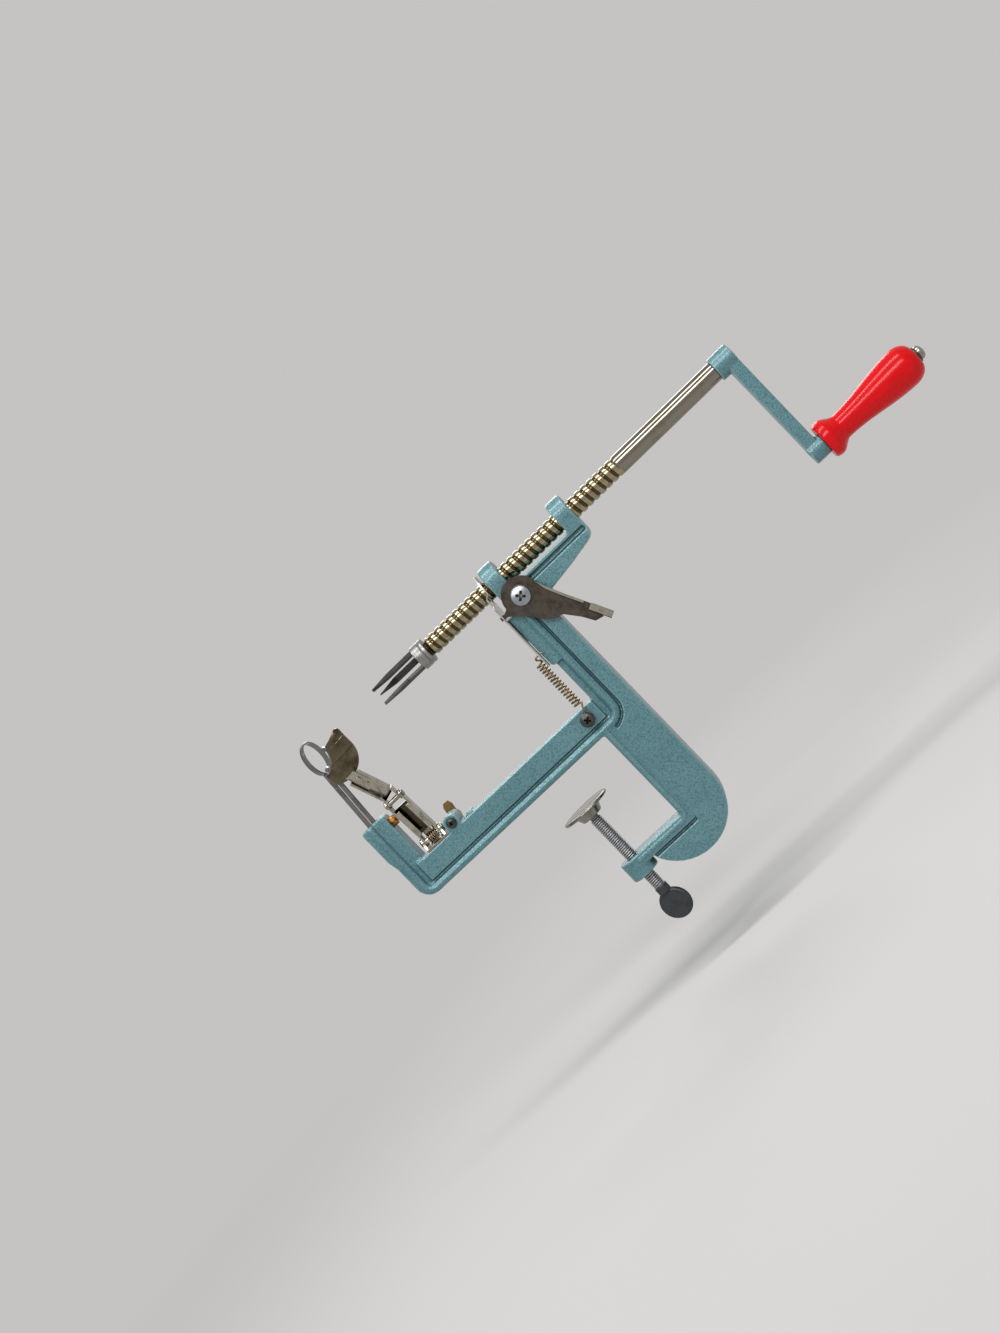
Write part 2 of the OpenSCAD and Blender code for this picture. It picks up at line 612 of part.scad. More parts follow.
coil_pitch = (spring_z1 - spring_z0) / spring_turns;
loop_r = anchor_r + 0.3 + wire_d / 2;
spring_path = concat(
  [for (a = [-200 : 25 : 0]) [anchor_x + loop_r * cos(a), spring_y, anchor_z + loop_r * sin(a)]],
  [[anchor_x + loop_r, spring_y, spring_z0 - 3], [spring_x + 0.6 * spring_r, spring_y, spring_z0 - 1.2]],
  [for (i = [0 : spring_turns * 8]) [spring_x + spring_r * cos(45 * i), spring_y + spring_r * sin(45 * i), spring_z0 + coil_pitch * i / 8]],
  [[spring_x + 0.6 * spring_r, spring_y, spring_z1 + 1.4], [spring_x + 0.1, spring_y, hook_z - 1.2], [spring_x + 0.7, spring_y, hook_z - 0.3],
    [spring_x + 1.7, spring_y, hook_z], [plate_x1 + 1.8, spring_y, hook_z]]);
echo("release spring least gap", least_gap(spring_path, wire_d, 6));

module release_spring() color("#a5905e") tube(spring_path, wire_d, [0, 1, 0]);

// Clamp
module clamp_screw() color("#8f9194") union() {
  turns = floor((pad_top - cup_h - clamp_bottom) / clamp_pitch) - 2;
  translate([0, 0, clamp_bottom]) screw_thread(clamp_pitch, turns, [[0, clamp_r], [0.5, clamp_r - 0.75]], 12);
  rod_z(neck_r, clamp_bottom + 2, pad_top - pad_flange - lay_gap, 0, 0);
  rod_z(button_r, pad_top - pad_flange - 1.4, pad_top - pad_flange - lay_gap, 0, 0);
  rod_z(clamp_r + 0.3, clamp_bottom - 3, clamp_bottom + 2.4, 0, 0);
  rotate([0, 0, -paddle_turn]) {
    rod_y(paddle_d / 2, -paddle_t / 2, paddle_t / 2, 0, paddle_z);
    block(-clamp_r - 0.6, clamp_r + 0.6, -paddle_t / 2, paddle_t / 2, paddle_z, clamp_bottom - 0.6);
  }
}

module clamp_pad() color("#b0aca5") difference() {
  union() {
    rod_z(pad_d / 2, pad_top - pad_flange, pad_top, 0, 0);
    translate([0, 0, pad_top - pad_flange - cup_h]) cylinder(r1 = cup_r, r2 = cup_r + 2.4, h = cup_h + 0.2);
  }
  rod_z(button_r + 0.2, pad_top - pad_flange - 1.5, pad_top - pad_flange, 0, 0);
  rod_z(clamp_r + 0.3, pad_top - pad_flange - cup_h - 1, pad_top - pad_flange - 1, 0, 0);
}

// Slicing ring
module slicer_ring() color("#c6c8ca") on_foot() bar_x(-strip_w / 2, strip_w / 2) difference() {
  union() {
    spot(0, shaft_h, ring_r);
    rect(-leg_y - strip_t / 2, leg_y + strip_t / 2, strap_z, shaft_h);
  }
  spot(0, shaft_h, ring_r - strip_t);
  rect(-leg_y + strip_t / 2, leg_y - strip_t / 2, strap_z + strip_t, shaft_h);
}

module slicer_stud() color("#a98a4a") rod_x(stud_r, end_x0 + 1.2, end_x1 + 4.2, 0, stud_z);

module slicer_nut() color("#b0873c") difference() {
  translate([end_x1 + lay_gap, 0, stud_z]) rotate([0, 90, 0]) cylinder(r = 3.9, h = 3.4, $fn = 6);
  rod_x(stud_r + 0.05, end_x1 - 1, end_x1 + 6, 0, stud_z);
}

// Stop screw and wing nut
module stop_screw() color("#4a4b4c") union() {
  cross_head(boss_x, -panel_y - lay_gap, boss_z, stop_head_r, 2.2, 15);
  rod_y(stop_r, -panel_y - 0.5, panel_y + 6.4, boss_x, boss_z);
}

module wing_nut() color("#b0873c") difference() {
  union() {
    rod_y(4.4, panel_y + lay_gap, panel_y + 5, boss_x, boss_z);
    translate([boss_x, 0, boss_z]) rotate([0, 8, 0]) for (s = [-1, 1]) slab(panel_y + 2.2, panel_y + 4.2)
      polygon([[-3, 0], [3, 0], [3.2, s * 8], [1.6, s * 11], [-1.6, s * 11], [-3.2, s * 8]]);
  }
  rod_y(stop_r + 0.05, panel_y - 1, panel_y + 7, boss_x, boss_z);
}

// Peeling arm
module peel_bracket() color("#b7b2a8") difference() {
  union() {
    block(peel_x - bracket_w / 2, peel_x + bracket_w / 2, -7, 7, arm_h + lay_gap, arm_h + base_t);
    for (x = [peel_x - bracket_w / 2, peel_x + bracket_w / 2 - ear_t]) bar_x(x, x + ear_t) {
      spot(0, pin_z, 3.6);
      polygon([[-3.6, pin_z], [-6, arm_h + 0.5], [6, arm_h + 0.5], [3.6, pin_z]]);
    }
    block(peel_x - 4, peel_x + 1.4, link_y1 + 0.2, link_y1 + 1.5, arm_h + 0.5, pin_z + 8);
  }
  rod_x(pin_r + 0.03, peel_x - bracket_w, peel_x + bracket_w, 0, pin_z);
  for (s = [-1, 1]) rod_z(1.25, arm_h - 1, arm_h + 4, foot_x, s * foot_y);
}

module bracket_screws() color("#9a9d9f") for (s = [-1, 1]) {
  rod_z(1.2, arm_h - 7, arm_h + base_t + 0.5, foot_x, s * foot_y);
  rod_z(1.7, arm_h + base_t + lay_gap, arm_h + base_t + 1.1, foot_x, s * foot_y);
}

module peel_pin() color("#9c9a95") union() {
  rod_x(pin_r, peel_x - bracket_w / 2 - 1, peel_x + bracket_w / 2 + 0.6, 0, pin_z);
  rod_x(pin_r + 0.9, peel_x - bracket_w / 2 - 1.2, peel_x - bracket_w / 2 - lay_gap, 0, pin_z);
  rod_x(pin_r + 0.9, peel_x + bracket_w / 2 + lay_gap, peel_x + bracket_w / 2 + 1.2, 0, pin_z);
}

// Pieces of the swinging arm are drawn upright on the pin, then leant to the front
module on_pin() translate([0, 0, pin_z]) rotate([peel_lean, 0, 0]) children();

module lower_link() color("#b9b4aa") on_pin() difference() {
  union() {
    for (x = [peel_x - link_w / 2, peel_x + link_w / 2 - wall_t]) bar_x(x, x + wall_t) {
      spot(0, 0, 3.2);
      spot(0, link_len, 3.2);
      rect(link_y0, link_y1, 0, link_len);
    }
    block(peel_x - link_w / 2, peel_x + link_w / 2, link_y1 - wall_t, link_y1, 5, link_len - 6);
    for (s = [-1, 1]) block(peel_x + min(s * link_w / 2, s * lip_x), peel_x + max(s * link_w / 2, s * lip_x), link_y0, link_y0 + wall_t, 6, link_len - 7);
  }
  rod_x(pin_r + run_gap, peel_x - 20, peel_x + 20, 0, 0);
  rod_x(knuckle_r + 0.03, peel_x - 20, peel_x + 20, 0, link_len);
}

module knuckle_pin() color("#9c9a95") on_pin() union() {
  rod_x(knuckle_r, peel_x - link_w / 2 - 1, peel_x + link_w / 2 + 1, 0, link_len);
  rod_x(knuckle_r + 0.9, peel_x - link_w / 2 - 1.3, peel_x - link_w / 2 - lay_gap, 0, link_len);
  rod_x(knuckle_r + 0.9, peel_x + link_w / 2 + lay_gap, peel_x + link_w / 2 + 1.3, 0, link_len);
}

torsion_turns = 4;
torsion_pitch = wire_d + 0.5;
torsion_x = peel_x - torsion_turns * torsion_pitch / 2;
torsion_path = concat(
  [[torsion_x, -6.8, 0.35 - torsion_r], [torsion_x, -3, 0.05 - torsion_r]],
  [for (i = [0 : torsion_turns * 8 + 4]) [torsion_x + torsion_pitch * i / 8, -torsion_r * sin(45 * i), -torsion_r * cos(45 * i)]],
  [[torsion_x + torsion_pitch * (torsion_turns + 0.5), 1.4, torsion_r + 2], [torsion_x + torsion_pitch * (torsion_turns + 0.5), 1.4, 12]]);
echo("arm spring least gap", least_gap(torsion_path, wire_d, 6));

module arm_spring() color("#8d8a84") on_pin() tube(torsion_path, wire_d, [1, 0, 0]);

// The upper arm leans away from the knuckle in a straight channel
module on_lean() translate([peel_x, 0, link_len + arm_start]) rotate([0, -arm_lean, 0]) children();

module upper_arm() color("#c4c1b8") on_pin() difference() {
  union() {
    for (x = [peel_x - upper_w / 2, peel_x + upper_w / 2 - wall_t]) bar_x(x, x + wall_t) {
      spot(0, link_len, 2.7);
      rect(-2.7, 2.7, link_len, link_len + arm_start + 3);
    }
    on_lean() difference() {
      block(-upper_w / 2, upper_w / 2, -3, 3, 0, arm_len);
      block(-upper_w / 2 + wall_t, upper_w / 2 - wall_t, -4, 3 - wall_t, -1, arm_len + 1);
    }
  }
  rod_x(knuckle_r + run_gap, peel_x - 20, peel_x + 20, 0, link_len);
  on_lean() for (z = [arm_len - 9, arm_len - 3]) rod_y(1.05, -5, 5, 0, z);
}

module arm_rivets() color("#6b6a67") on_pin() on_lean() for (z = [arm_len - 9, arm_len - 3]) {
  rod_y(1, -0.4, 3.6, 0, z);
  rod_y(1.6, 3 + lay_gap, 3.9, 0, z);
  rod_y(1.6, -0.9, -lay_gap, 0, z);
}

// Crescent of the blade head, seen from the front
module head_outline() difference() {
  union() {
    spot(head_x, head_z, head_r);
    rect(head_x + head_r / 2, head_x + head_r, head_z, head_z + rim_up);
  }
  translate([head_x, head_z]) polygon([[-2 * head_r, rim_low], [head_r * 0.2, rim_low], [head_r * 0.5, rim_low + 1.2],
    [head_r * 0.76, rim_up - 0.4], [head_r * 0.88, rim_up], [head_r * 0.97, rim_up - 1], [head_r, rim_up - 3], [head_r + 1, rim_up - 3],
    [head_r + 1, 2 * head_r], [-2 * head_r, 2 * head_r]]);
  spot(head_x - 11, head_z + 10, head_r - 1.5);
  rect(head_x - 2 * head_r, head_x - head_cut, head_z - 2 * head_r, head_z + 2 * head_r);
}

module blade_guard() color("#a39a8c") on_pin() difference() {
  union() {
    intersection() {
      difference() {
        translate([head_x, dome_y, head_z]) sphere(dome_r);
        translate([head_x, dome_y, head_z]) sphere(dome_r - 1.1);
      }
      slab(-5, 9) head_outline();
    }
    for (z = [head_z - 2.5, head_z + 6]) intersection() {
      difference() {
        translate([head_x, dome_y, head_z]) sphere(dome_r + 0.6);
        translate([head_x, dome_y, head_z]) sphere(dome_r - 0.6);
      }
      slab(-6, 9) intersection() {
        head_outline();
        rect(head_x - 20, head_x + 20, z - 0.7, z + 0.7);
      }
    }
    on_lean() block(-3.2, 3.2, 0, 3 - wall_t - lay_gap, arm_len - 12, arm_len + 5);
  }
  on_lean() for (z = [arm_len - 9, arm_len - 3]) rod_y(1.05, -5, 5, 0, z);
}

module peeling_blade() color("#d2d3d4") on_pin() union() {
  cx = head_x - 11;
  cz = head_z + 10;
  r = head_r - 1.5 - lay_gap;
  intersection() {
    difference() {
      rod_y(r, -2.5, 5.1, cx, cz);
      rod_y(r - 0.9, -3.5, 6.1, cx, cz);
    }
    slab(-4, 7) translate([cx, cz]) polygon([[0, 0], [30 * cos(-6), 30 * sin(-6)], [30 * cos(-35), 30 * sin(-35)], [30 * cos(-66), 30 * sin(-66)]]);
  }
  for (a = [-6, -66]) rod_y(knob_r, -2, 1, cx + (r - knob_r - 0.1) * cos(a), cz + (r - knob_r - 0.1) * sin(a));
}

frame_casting();
feed_shaft();
fork_collar();
apple_fork();
crank_arm();
handle_grip();
grip_washer();
handle_bolt();
half_nut_plate();
release_lever();
lever_screw();
spring_screw();
release_spring();
clamp_screw();
clamp_pad();
slicer_ring();
slicer_stud();
slicer_nut();
stop_screw();
wing_nut();
peel_bracket();
bracket_screws();
peel_pin();
lower_link();
knuckle_pin();
arm_spring();
upper_arm();
arm_rivets();
blade_guard();
peeling_blade();
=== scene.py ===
# %% [markdown]
# # A hand-cranked apple peeler
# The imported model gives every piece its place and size, in metres. X runs along the feed shaft
# towards the crank, Z is up, and the front is on the -Y side. This lesson dresses that model:
# first the helpers, then the finishes, then the pieces one by one, and last the light and the camera.

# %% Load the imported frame
import math
import bmesh
import bpy
import numpy as np
from mathutils import Matrix, Vector


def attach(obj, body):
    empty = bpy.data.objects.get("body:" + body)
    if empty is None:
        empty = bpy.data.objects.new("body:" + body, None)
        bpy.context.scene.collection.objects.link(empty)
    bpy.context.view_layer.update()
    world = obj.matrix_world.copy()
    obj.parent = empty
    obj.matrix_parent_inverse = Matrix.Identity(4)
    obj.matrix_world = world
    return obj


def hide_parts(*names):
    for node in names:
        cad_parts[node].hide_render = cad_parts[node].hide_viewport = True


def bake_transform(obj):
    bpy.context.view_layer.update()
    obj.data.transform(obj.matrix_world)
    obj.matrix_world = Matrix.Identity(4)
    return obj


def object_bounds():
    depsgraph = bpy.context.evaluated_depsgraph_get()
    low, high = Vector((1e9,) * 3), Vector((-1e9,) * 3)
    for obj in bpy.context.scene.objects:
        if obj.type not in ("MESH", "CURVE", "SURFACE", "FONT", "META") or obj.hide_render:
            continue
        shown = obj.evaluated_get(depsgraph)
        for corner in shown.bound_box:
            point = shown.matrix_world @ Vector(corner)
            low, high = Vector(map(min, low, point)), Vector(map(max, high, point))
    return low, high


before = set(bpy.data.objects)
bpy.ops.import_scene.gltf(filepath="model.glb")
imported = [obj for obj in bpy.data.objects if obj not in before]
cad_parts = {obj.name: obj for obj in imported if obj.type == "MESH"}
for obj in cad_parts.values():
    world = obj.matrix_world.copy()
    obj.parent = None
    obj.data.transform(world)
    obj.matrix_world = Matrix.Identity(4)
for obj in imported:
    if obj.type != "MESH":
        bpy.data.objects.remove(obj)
cad_box = [list(corner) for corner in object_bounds()]
print("nodes", len(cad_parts), "box", cad_box)

# %% [markdown]
# ## Helpers for surfaces
# A numpy surface is a grid of points worked out from two parameters. One helper turns the grid into
# quads, and another puts one or more grids into a mesh, closes seams and poles by welding, fills open
# ends, and turns the faces outwards. Lengths are written in millimetres and scaled once, at the end.

# %% Grids and meshes
MM = 0.001
WELD = 2e-6


def grid_quads(rows, cols, wrap_rows=False, wrap_cols=False):
    """Quads of a rows x cols grid: corners (i, j), (i, j+1), (i+1, j+1), (i+1, j), wrapped where asked."""
    i = np.arange(rows if wrap_rows else rows - 1)
    j = np.arange(cols if wrap_cols else cols - 1)
    i, j = np.meshgrid(i, j, indexing="ij")
    i2 = (i + 1) % rows
    j2 = (j + 1) % cols
    return np.stack([i * cols + j, i * cols + j2, i2 * cols + j2, i2 * cols + j], -1).reshape(-1, 4)


def joined(*shells):
    """Several (points, quads) shells as one: the quads' numbers are shifted by the points before them."""
    starts = np.cumsum([0] + [len(points) for points, _ in shells[:-1]])
    points = np.vstack([points for points, _ in shells])
    quads = np.vstack([quads + start for (_, quads), start in zip(shells, starts)])
    return points, quads


def seat(piece, finish, body, nodes):
    """The piece gets its finish, rides on its body, if one is named, and stands for its CAD nodes."""
    piece.data.materials.clear()
    piece.data.materials.append(finish)
    if body:
        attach(piece, body)
    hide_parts(*nodes)


def make_piece(name, shell, sharp=40, closed=True):
    """A mesh object from a shell in millimetres, welded, closed if asked, turned outwards, shaded smooth."""
    points, quads = shell
    mesh = bpy.data.meshes.new(name)
    mesh.from_pydata((points * MM).tolist(), [], quads.tolist())
    work = bmesh.new()
    work.from_mesh(mesh)
    bmesh.ops.remove_doubles(work, verts=work.verts, dist=WELD)
    if closed:
        bmesh.ops.holes_fill(work, edges=work.edges, sides=0)
    bmesh.ops.recalc_face_normals(work, faces=work.faces)
    work.to_mesh(mesh)
    work.free()
    mesh.shade_smooth()
    mesh.set_sharp_from_angle(angle=math.radians(sharp))
    piece = bpy.data.objects.new(name, mesh)
    bpy.context.scene.collection.objects.link(piece)
    print(name, len(mesh.vertices), "points", len(mesh.polygons), "faces")
    return piece


# %% [markdown]
# ## Helpers for pressed and cast pieces
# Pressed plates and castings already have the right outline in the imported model, where every edge is
# knife sharp. A pressed plate is a welded copy of its node with a fine bevel. A casting is thicker: its
# edges and inner corners are all round, as the mould and the enamel leave them. A bevel can't follow
# that many short edges, so the copy is rebuilt from small cells and smoothed without shrinking.

# %% Copies with soft edges
FLAT = math.radians(0.4)
CREASE = math.radians(32)
PUSH_IN = 0.6
PUSH_OUT = -0.61
SETTLE = 0.35
SETTLE_PASSES = 2


def welded_copy(node, name):
    """A new object with a node's mesh, its loose triangles welded and its flat faces joined."""
    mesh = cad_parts[node].data.copy()
    mesh.name = name
    work = bmesh.new()
    work.from_mesh(mesh)
    bmesh.ops.remove_doubles(work, verts=work.verts, dist=WELD)
    bmesh.ops.dissolve_limit(work, angle_limit=FLAT, verts=work.verts, edges=work.edges)
    work.to_mesh(mesh)
    work.free()
    piece = bpy.data.objects.new(name, mesh)
    bpy.context.scene.collection.objects.link(piece)
    return piece


def pressed(node, name, width, finish, body, segments=2):
    """A pressed plate in place of its node: the welded copy with a bevel, in millimetres, on sharp edges."""
    piece = welded_copy(node, name)
    piece.data.shade_smooth()
    piece.data.set_sharp_from_angle(angle=CREASE)
    bevel = piece.modifiers.new("edge", "BEVEL")
    bevel.width = width * MM
    bevel.segments = segments
    bevel.limit_method = "ANGLE"
    bevel.angle_limit = CREASE
    bevel.use_clamp_overlap = True
    bevel.harden_normals = True
    seat(piece, finish, body, [node])
    print(name, len(piece.data.polygons), "faces before its bevel")
    return piece


def cast(node, name, cell, passes, finish, body):
    """A casting in place of its node: the welded copy in cells of that size, smoothed in and out again."""
    piece = welded_copy(node, name)
    cells = piece.modifiers.new("cells", "REMESH")
    cells.mode = "VOXEL"
    cells.voxel_size = cell * MM
    cells.use_smooth_shade = True
    stages = (
        ("smooth in", PUSH_IN, passes), ("smooth out", PUSH_OUT, passes), ("settle", SETTLE, SETTLE_PASSES))
    for label, factor, times in stages:
        smooth = piece.modifiers.new(label, "SMOOTH")
        smooth.factor = factor
        smooth.iterations = times
    seat(piece, finish, body, [node])
    print(name, "cells of", cell, "mm")


# %% [markdown]
# ## Helpers for finishes
# Each finish is a node material on Object coordinates, so its pattern is fixed to the metal and has a
# real size. Noise gives stains and fine grain, and a bump from the same noise breaks up the shine.
# Painted images could hold all that too, but every mesh would have to be unwrapped for them.

# %% Node helpers
OPEN_SHARES = (0.40, 0.86)
SHADE_RAYS = 16


def finish_base(name):
    """A new material: its nodes, a linker, its shader and its Object coordinates."""
    material = bpy.data.materials.new(name)
    material.use_nodes = True
    nodes = material.node_tree.nodes
    links = material.node_tree.links
    shader = nodes["Principled BSDF"]
    place = nodes.new("ShaderNodeTexCoord").outputs["Object"]
    return material, nodes, links, shader, place


def fill(node, values):
    """Sets inputs of a node by their names."""
    for name, value in values.items():
        node.inputs[name].default_value = value


def noise(nodes, links, place, scale, detail=3.0, roughness=0.55):
    """Noise of that many cells a metre."""
    node = nodes.new("ShaderNodeTexNoise")
    fill(node, {"Scale": scale, "Detail": detail, "Roughness": roughness})
    links.new(place, node.inputs["Vector"])
    return node.outputs["Fac"]


def ramp(nodes, links, value, stops):
    """A colour ramp with stops of (position, colour)."""
    node = nodes.new("ShaderNodeValToRGB")
    points = node.color_ramp.elements
    while len(points) < len(stops):
        points.new(0.5)
    for point, (position, colour) in zip(points, stops):
        point.position = position
        point.color = (*colour, 1)
    links.new(value, node.inputs["Fac"])
    return node.outputs["Color"]


def blend(nodes, links, amount, first, second, mode="MIX"):
    """First and second colours mixed by an amount, each a socket or a plain value."""
    node = nodes.new("ShaderNodeMix")
    node.data_type = "RGBA"
    node.blend_type = mode
    for socket, value in ((node.inputs[0], amount), (node.inputs[6], first), (node.inputs[7], second)):
        if isinstance(value, bpy.types.NodeSocket):
            links.new(value, socket)
        else:
            socket.default_value = value
    return node.outputs[2]


def span(nodes, links, value, low, high, to_low, to_high):
    """A value's range low..high carried to to_low..to_high, held at the ends."""
    node = nodes.new("ShaderNodeMapRange")
    fill(node, {"From Min": low, "From Max": high, "To Min": to_low, "To Max": to_high})
    links.new(value, node.inputs["Value"])
    return node.outputs["Result"]


def painted_recess_shade(nodes, links, colour, reach, shade_tone, shares=OPEN_SHARES):
    """A colour multiplied by a darker tone, painted shade, where walls of the same piece within reach, in
    metres, close it in.

    shares are the open share of the surroundings at which the painted shade is full, and at which it ends.
    """
    # Painted shade: darker where walls of the same piece close the point in.
    node = nodes.new("ShaderNodeAmbientOcclusion")
    node.samples = SHADE_RAYS
    node.only_local = True
    fill(node, {"Distance": reach})
    open_share = span(nodes, links, node.outputs["AO"], *shares, 0.0, 1.0)
    deep = blend(nodes, links, 1.0, colour, shade_tone, "MULTIPLY")
    return blend(nodes, links, open_share, deep, colour)


def dent(nodes, links, shader, height, depth):
    """A bump of that depth in metres on the shader's normal."""
    node = nodes.new("ShaderNodeBump")
    fill(node, {"Strength": 1.0, "Distance": depth})
    links.new(height, node.inputs["Height"])
    links.new(node.outputs["Normal"], shader.inputs["Normal"])


# %% [markdown]
# ## Hammered enamel
# The casting and the crank wear a hammered enamel: turquoise paint with metal dust that dries into
# small shallow cells, pale in the middle and dark between. Dents of that size in the mesh would need
# millions of faces, so smooth Voronoi cells about a millimetre wide give both the colour and the dents,
# and noise shifts the tone from place to place. Corners that stick out get a paler colour, a painted
# highlight, and the grooves get a darker one, painted shade.

# %% Hammered enamel
CELLS_A_METRE = 1050
CELL_TONES = [(0.05, (0.155, 0.310, 0.336)), (0.42, (0.112, 0.248, 0.272)), (0.80, (0.066, 0.170, 0.190))]
CELL_DENT = 0.00015
SHAKE_A_METRE = 420
SHAKE = 0.0009
DRIFT_A_METRE = 38
DRIFT_TONES = [(0.30, (0.78, 0.84, 0.86)), (0.70, (1.0, 1.0, 1.0))]
EDGE_HIGHLIGHT_PALE = (0.36, 0.52, 0.53, 1)
GROOVE_PAINTED_SHADE = (0.22, 0.30, 0.32, 1)
GROOVE_REACH = 0.005


def hammered_enamel(name):
    """Turquoise enamel: colour and bump from smooth Voronoi cells, a painted highlight on sharp corners and
    painted shade in the recesses.
    """
    material, nodes, links, shader, place = finish_base(name)
    cells = nodes.new("ShaderNodeTexVoronoi")
    cells.feature = "SMOOTH_F1"
    fill(cells, {"Scale": CELLS_A_METRE, "Smoothness": 0.6, "Randomness": 1.0})
    warp = nodes.new("ShaderNodeMix")
    warp.data_type = "VECTOR"
    warp.inputs[0].default_value = SHAKE
    links.new(place, warp.inputs[4])
    shake = nodes.new("ShaderNodeTexNoise")
    fill(shake, {"Scale": SHAKE_A_METRE})
    links.new(place, shake.inputs["Vector"])
    links.new(shake.outputs["Color"], warp.inputs[5])
    links.new(warp.outputs[1], cells.inputs["Vector"])
    tone = ramp(nodes, links, cells.outputs["Distance"], CELL_TONES)
    drift = ramp(nodes, links, noise(nodes, links, place, DRIFT_A_METRE, 4), DRIFT_TONES)
    toned = blend(nodes, links, 1.0, tone, drift, "MULTIPLY")
    # Painted highlight: corners that stick out get a paler colour.
    edge = nodes.new("ShaderNodeNewGeometry")
    painted_light = span(nodes, links, edge.outputs["Pointiness"], 0.515, 0.565, 0.0, 0.55)
    toned = blend(nodes, links, painted_light, toned, EDGE_HIGHLIGHT_PALE)
    # Painted shade: a darker tone in the grooves.
    links.new(painted_recess_shade(nodes, links, toned, GROOVE_REACH, GROOVE_PAINTED_SHADE), shader.inputs["Base Color"])
    fill(shader, {"Metallic": 0.25, "Coat Weight": 0.35, "Coat Roughness": 0.16})
    links.new(span(nodes, links, cells.outputs["Distance"], 0.1, 0.8, 0.30, 0.46), shader.inputs["Roughness"])
    dent(nodes, links, shader, cells.outputs["Distance"], CELL_DENT)
    return material


enamel = hammered_enamel("hammered enamel")
print("finish", enamel.name)


# %% [markdown]
# ## Metals
# The bright pieces are plated or bare steel that has been handled for years. They differ in tone and
# shine but have aged alike, so one function makes them all: a base tone, a darker stain spread by
# noise, fine grain in the roughness, and a faint bump. A point that sees little of its surroundings,
# in channels and corners, is painted darker: painted shade.

# %% Metals
METAL_PAINTED_SHADE = (0.16, 0.13, 0.10, 1)
FAINT = 0.00001
SMOOTH = 0.0


def worn_metal(name, tone, stain, amount, shine, grain=900.0, patch=120.0, depth=0.00003,
               reach=0.002, shares=OPEN_SHARES):
    """Metal of a tone with stains: amount is the stain's share, shine the lowest and highest roughness.

    grain and patch are the cells a metre of the fine grain and of the stains, and depth the bump in
    metres. reach is how far, in metres, a wall paints shade on the metal near it; shares as for that shade.
    """
    material, nodes, links, shader, place = finish_base(name)
    cloud = noise(nodes, links, place, patch, 5, 0.62)
    spread = span(nodes, links, cloud, 0.62 - 0.3 * amount, 0.78 - 0.2 * amount, 0.0, 1.0)
    clean = blend(nodes, links, spread, (*tone, 1), (*stain, 1))
    # Painted shade: darker where walls of the piece close the metal in.
    with_painted_shade = painted_recess_shade(nodes, links, clean, reach, METAL_PAINTED_SHADE, shares)
    links.new(with_painted_shade, shader.inputs["Base Color"])
    fill(shader, {"Metallic": 1.0})
    fine = noise(nodes, links, place, grain, 3, 0.6)
    links.new(span(nodes, links, fine, 0.25, 0.75, *shine), shader.inputs["Roughness"])
    dent(nodes, links, shader, fine, depth)
    return material


NICKEL = (0.40, 0.38, 0.32)
NICKEL_STAIN = (0.21, 0.185, 0.13)
NICKEL_SHINE = (0.10, 0.22)
lever_steel = worn_metal("lever steel", (0.125, 0.108, 0.090), (0.072, 0.056, 0.044), 0.6, (0.18, 0.32),
                         patch=160, depth=FAINT)
plate_steel = worn_metal("plate steel", (0.56, 0.55, 0.52), (0.34, 0.32, 0.29), 0.3, (0.20, 0.34),
                         depth=FAINT)
polished = worn_metal("polished steel", (0.25, 0.225, 0.185), (0.20, 0.172, 0.13), 0.5, (0.09, 0.14),
                      grain=700, patch=60, depth=SMOOTH)
screw_zinc = worn_metal("screw zinc", (0.33, 0.36, 0.385), (0.25, 0.27, 0.285), 0.3, (0.30, 0.42),
                        grain=1500, patch=300, depth=FAINT)
dark_steel = worn_metal("dark steel", (0.085, 0.082, 0.08), (0.04, 0.036, 0.032), 0.5, (0.30, 0.5))
paddle_steel = worn_metal("paddle steel", (0.075, 0.078, 0.085), (0.045, 0.045, 0.048), 0.4, (0.40, 0.58))
collar_zinc = worn_metal("collar zinc", (0.30, 0.295, 0.285), (0.17, 0.16, 0.15), 0.5, (0.32, 0.5))
nickel = worn_metal("nickel plate", NICKEL, NICKEL_STAIN, 0.5, NICKEL_SHINE, patch=180, depth=FAINT,
                    reach=0.003)
# Deeper, wider painted shade, so that the inside of the link's channel is dark.
link_nickel_deep_shade = worn_metal("link nickel", NICKEL, NICKEL_STAIN, 0.5, NICKEL_SHINE, patch=180, depth=FAINT,
                         reach=0.012, shares=(0.66, 0.96))
# A paler copy of the lever's steel: a painted highlight on its fold and roll.
highlight_steel = worn_metal("painted highlight steel", (0.46, 0.42, 0.36), (0.30, 0.26, 0.20), 0.4, (0.10, 0.20),
                          patch=160, depth=FAINT)
pad_nickel = worn_metal("pad nickel", (0.25, 0.24, 0.205), (0.15, 0.135, 0.105), 0.5, (0.10, 0.18),
                        patch=160, depth=SMOOTH)
bronzed = worn_metal("bronzed plate", (0.145, 0.120, 0.078), (0.070, 0.054, 0.032), 0.6, (0.08, 0.20),
                     patch=110, depth=FAINT)
blade_steel = worn_metal("blade steel", (0.23, 0.23, 0.228), (0.11, 0.105, 0.10), 0.4, (0.12, 0.26))
brass = worn_metal("brass", (0.42, 0.19, 0.045), (0.20, 0.085, 0.022), 0.6, (0.26, 0.44), patch=300)
dull_brass = worn_metal("dull brass", (0.27, 0.185, 0.075), (0.12, 0.078, 0.032), 0.6, (0.30, 0.48),
                        patch=300)
spring_wire = worn_metal("spring wire", (0.34, 0.26, 0.14), (0.14, 0.10, 0.055), 0.6, (0.22, 0.40))
print("finishes", len(bpy.data.materials))


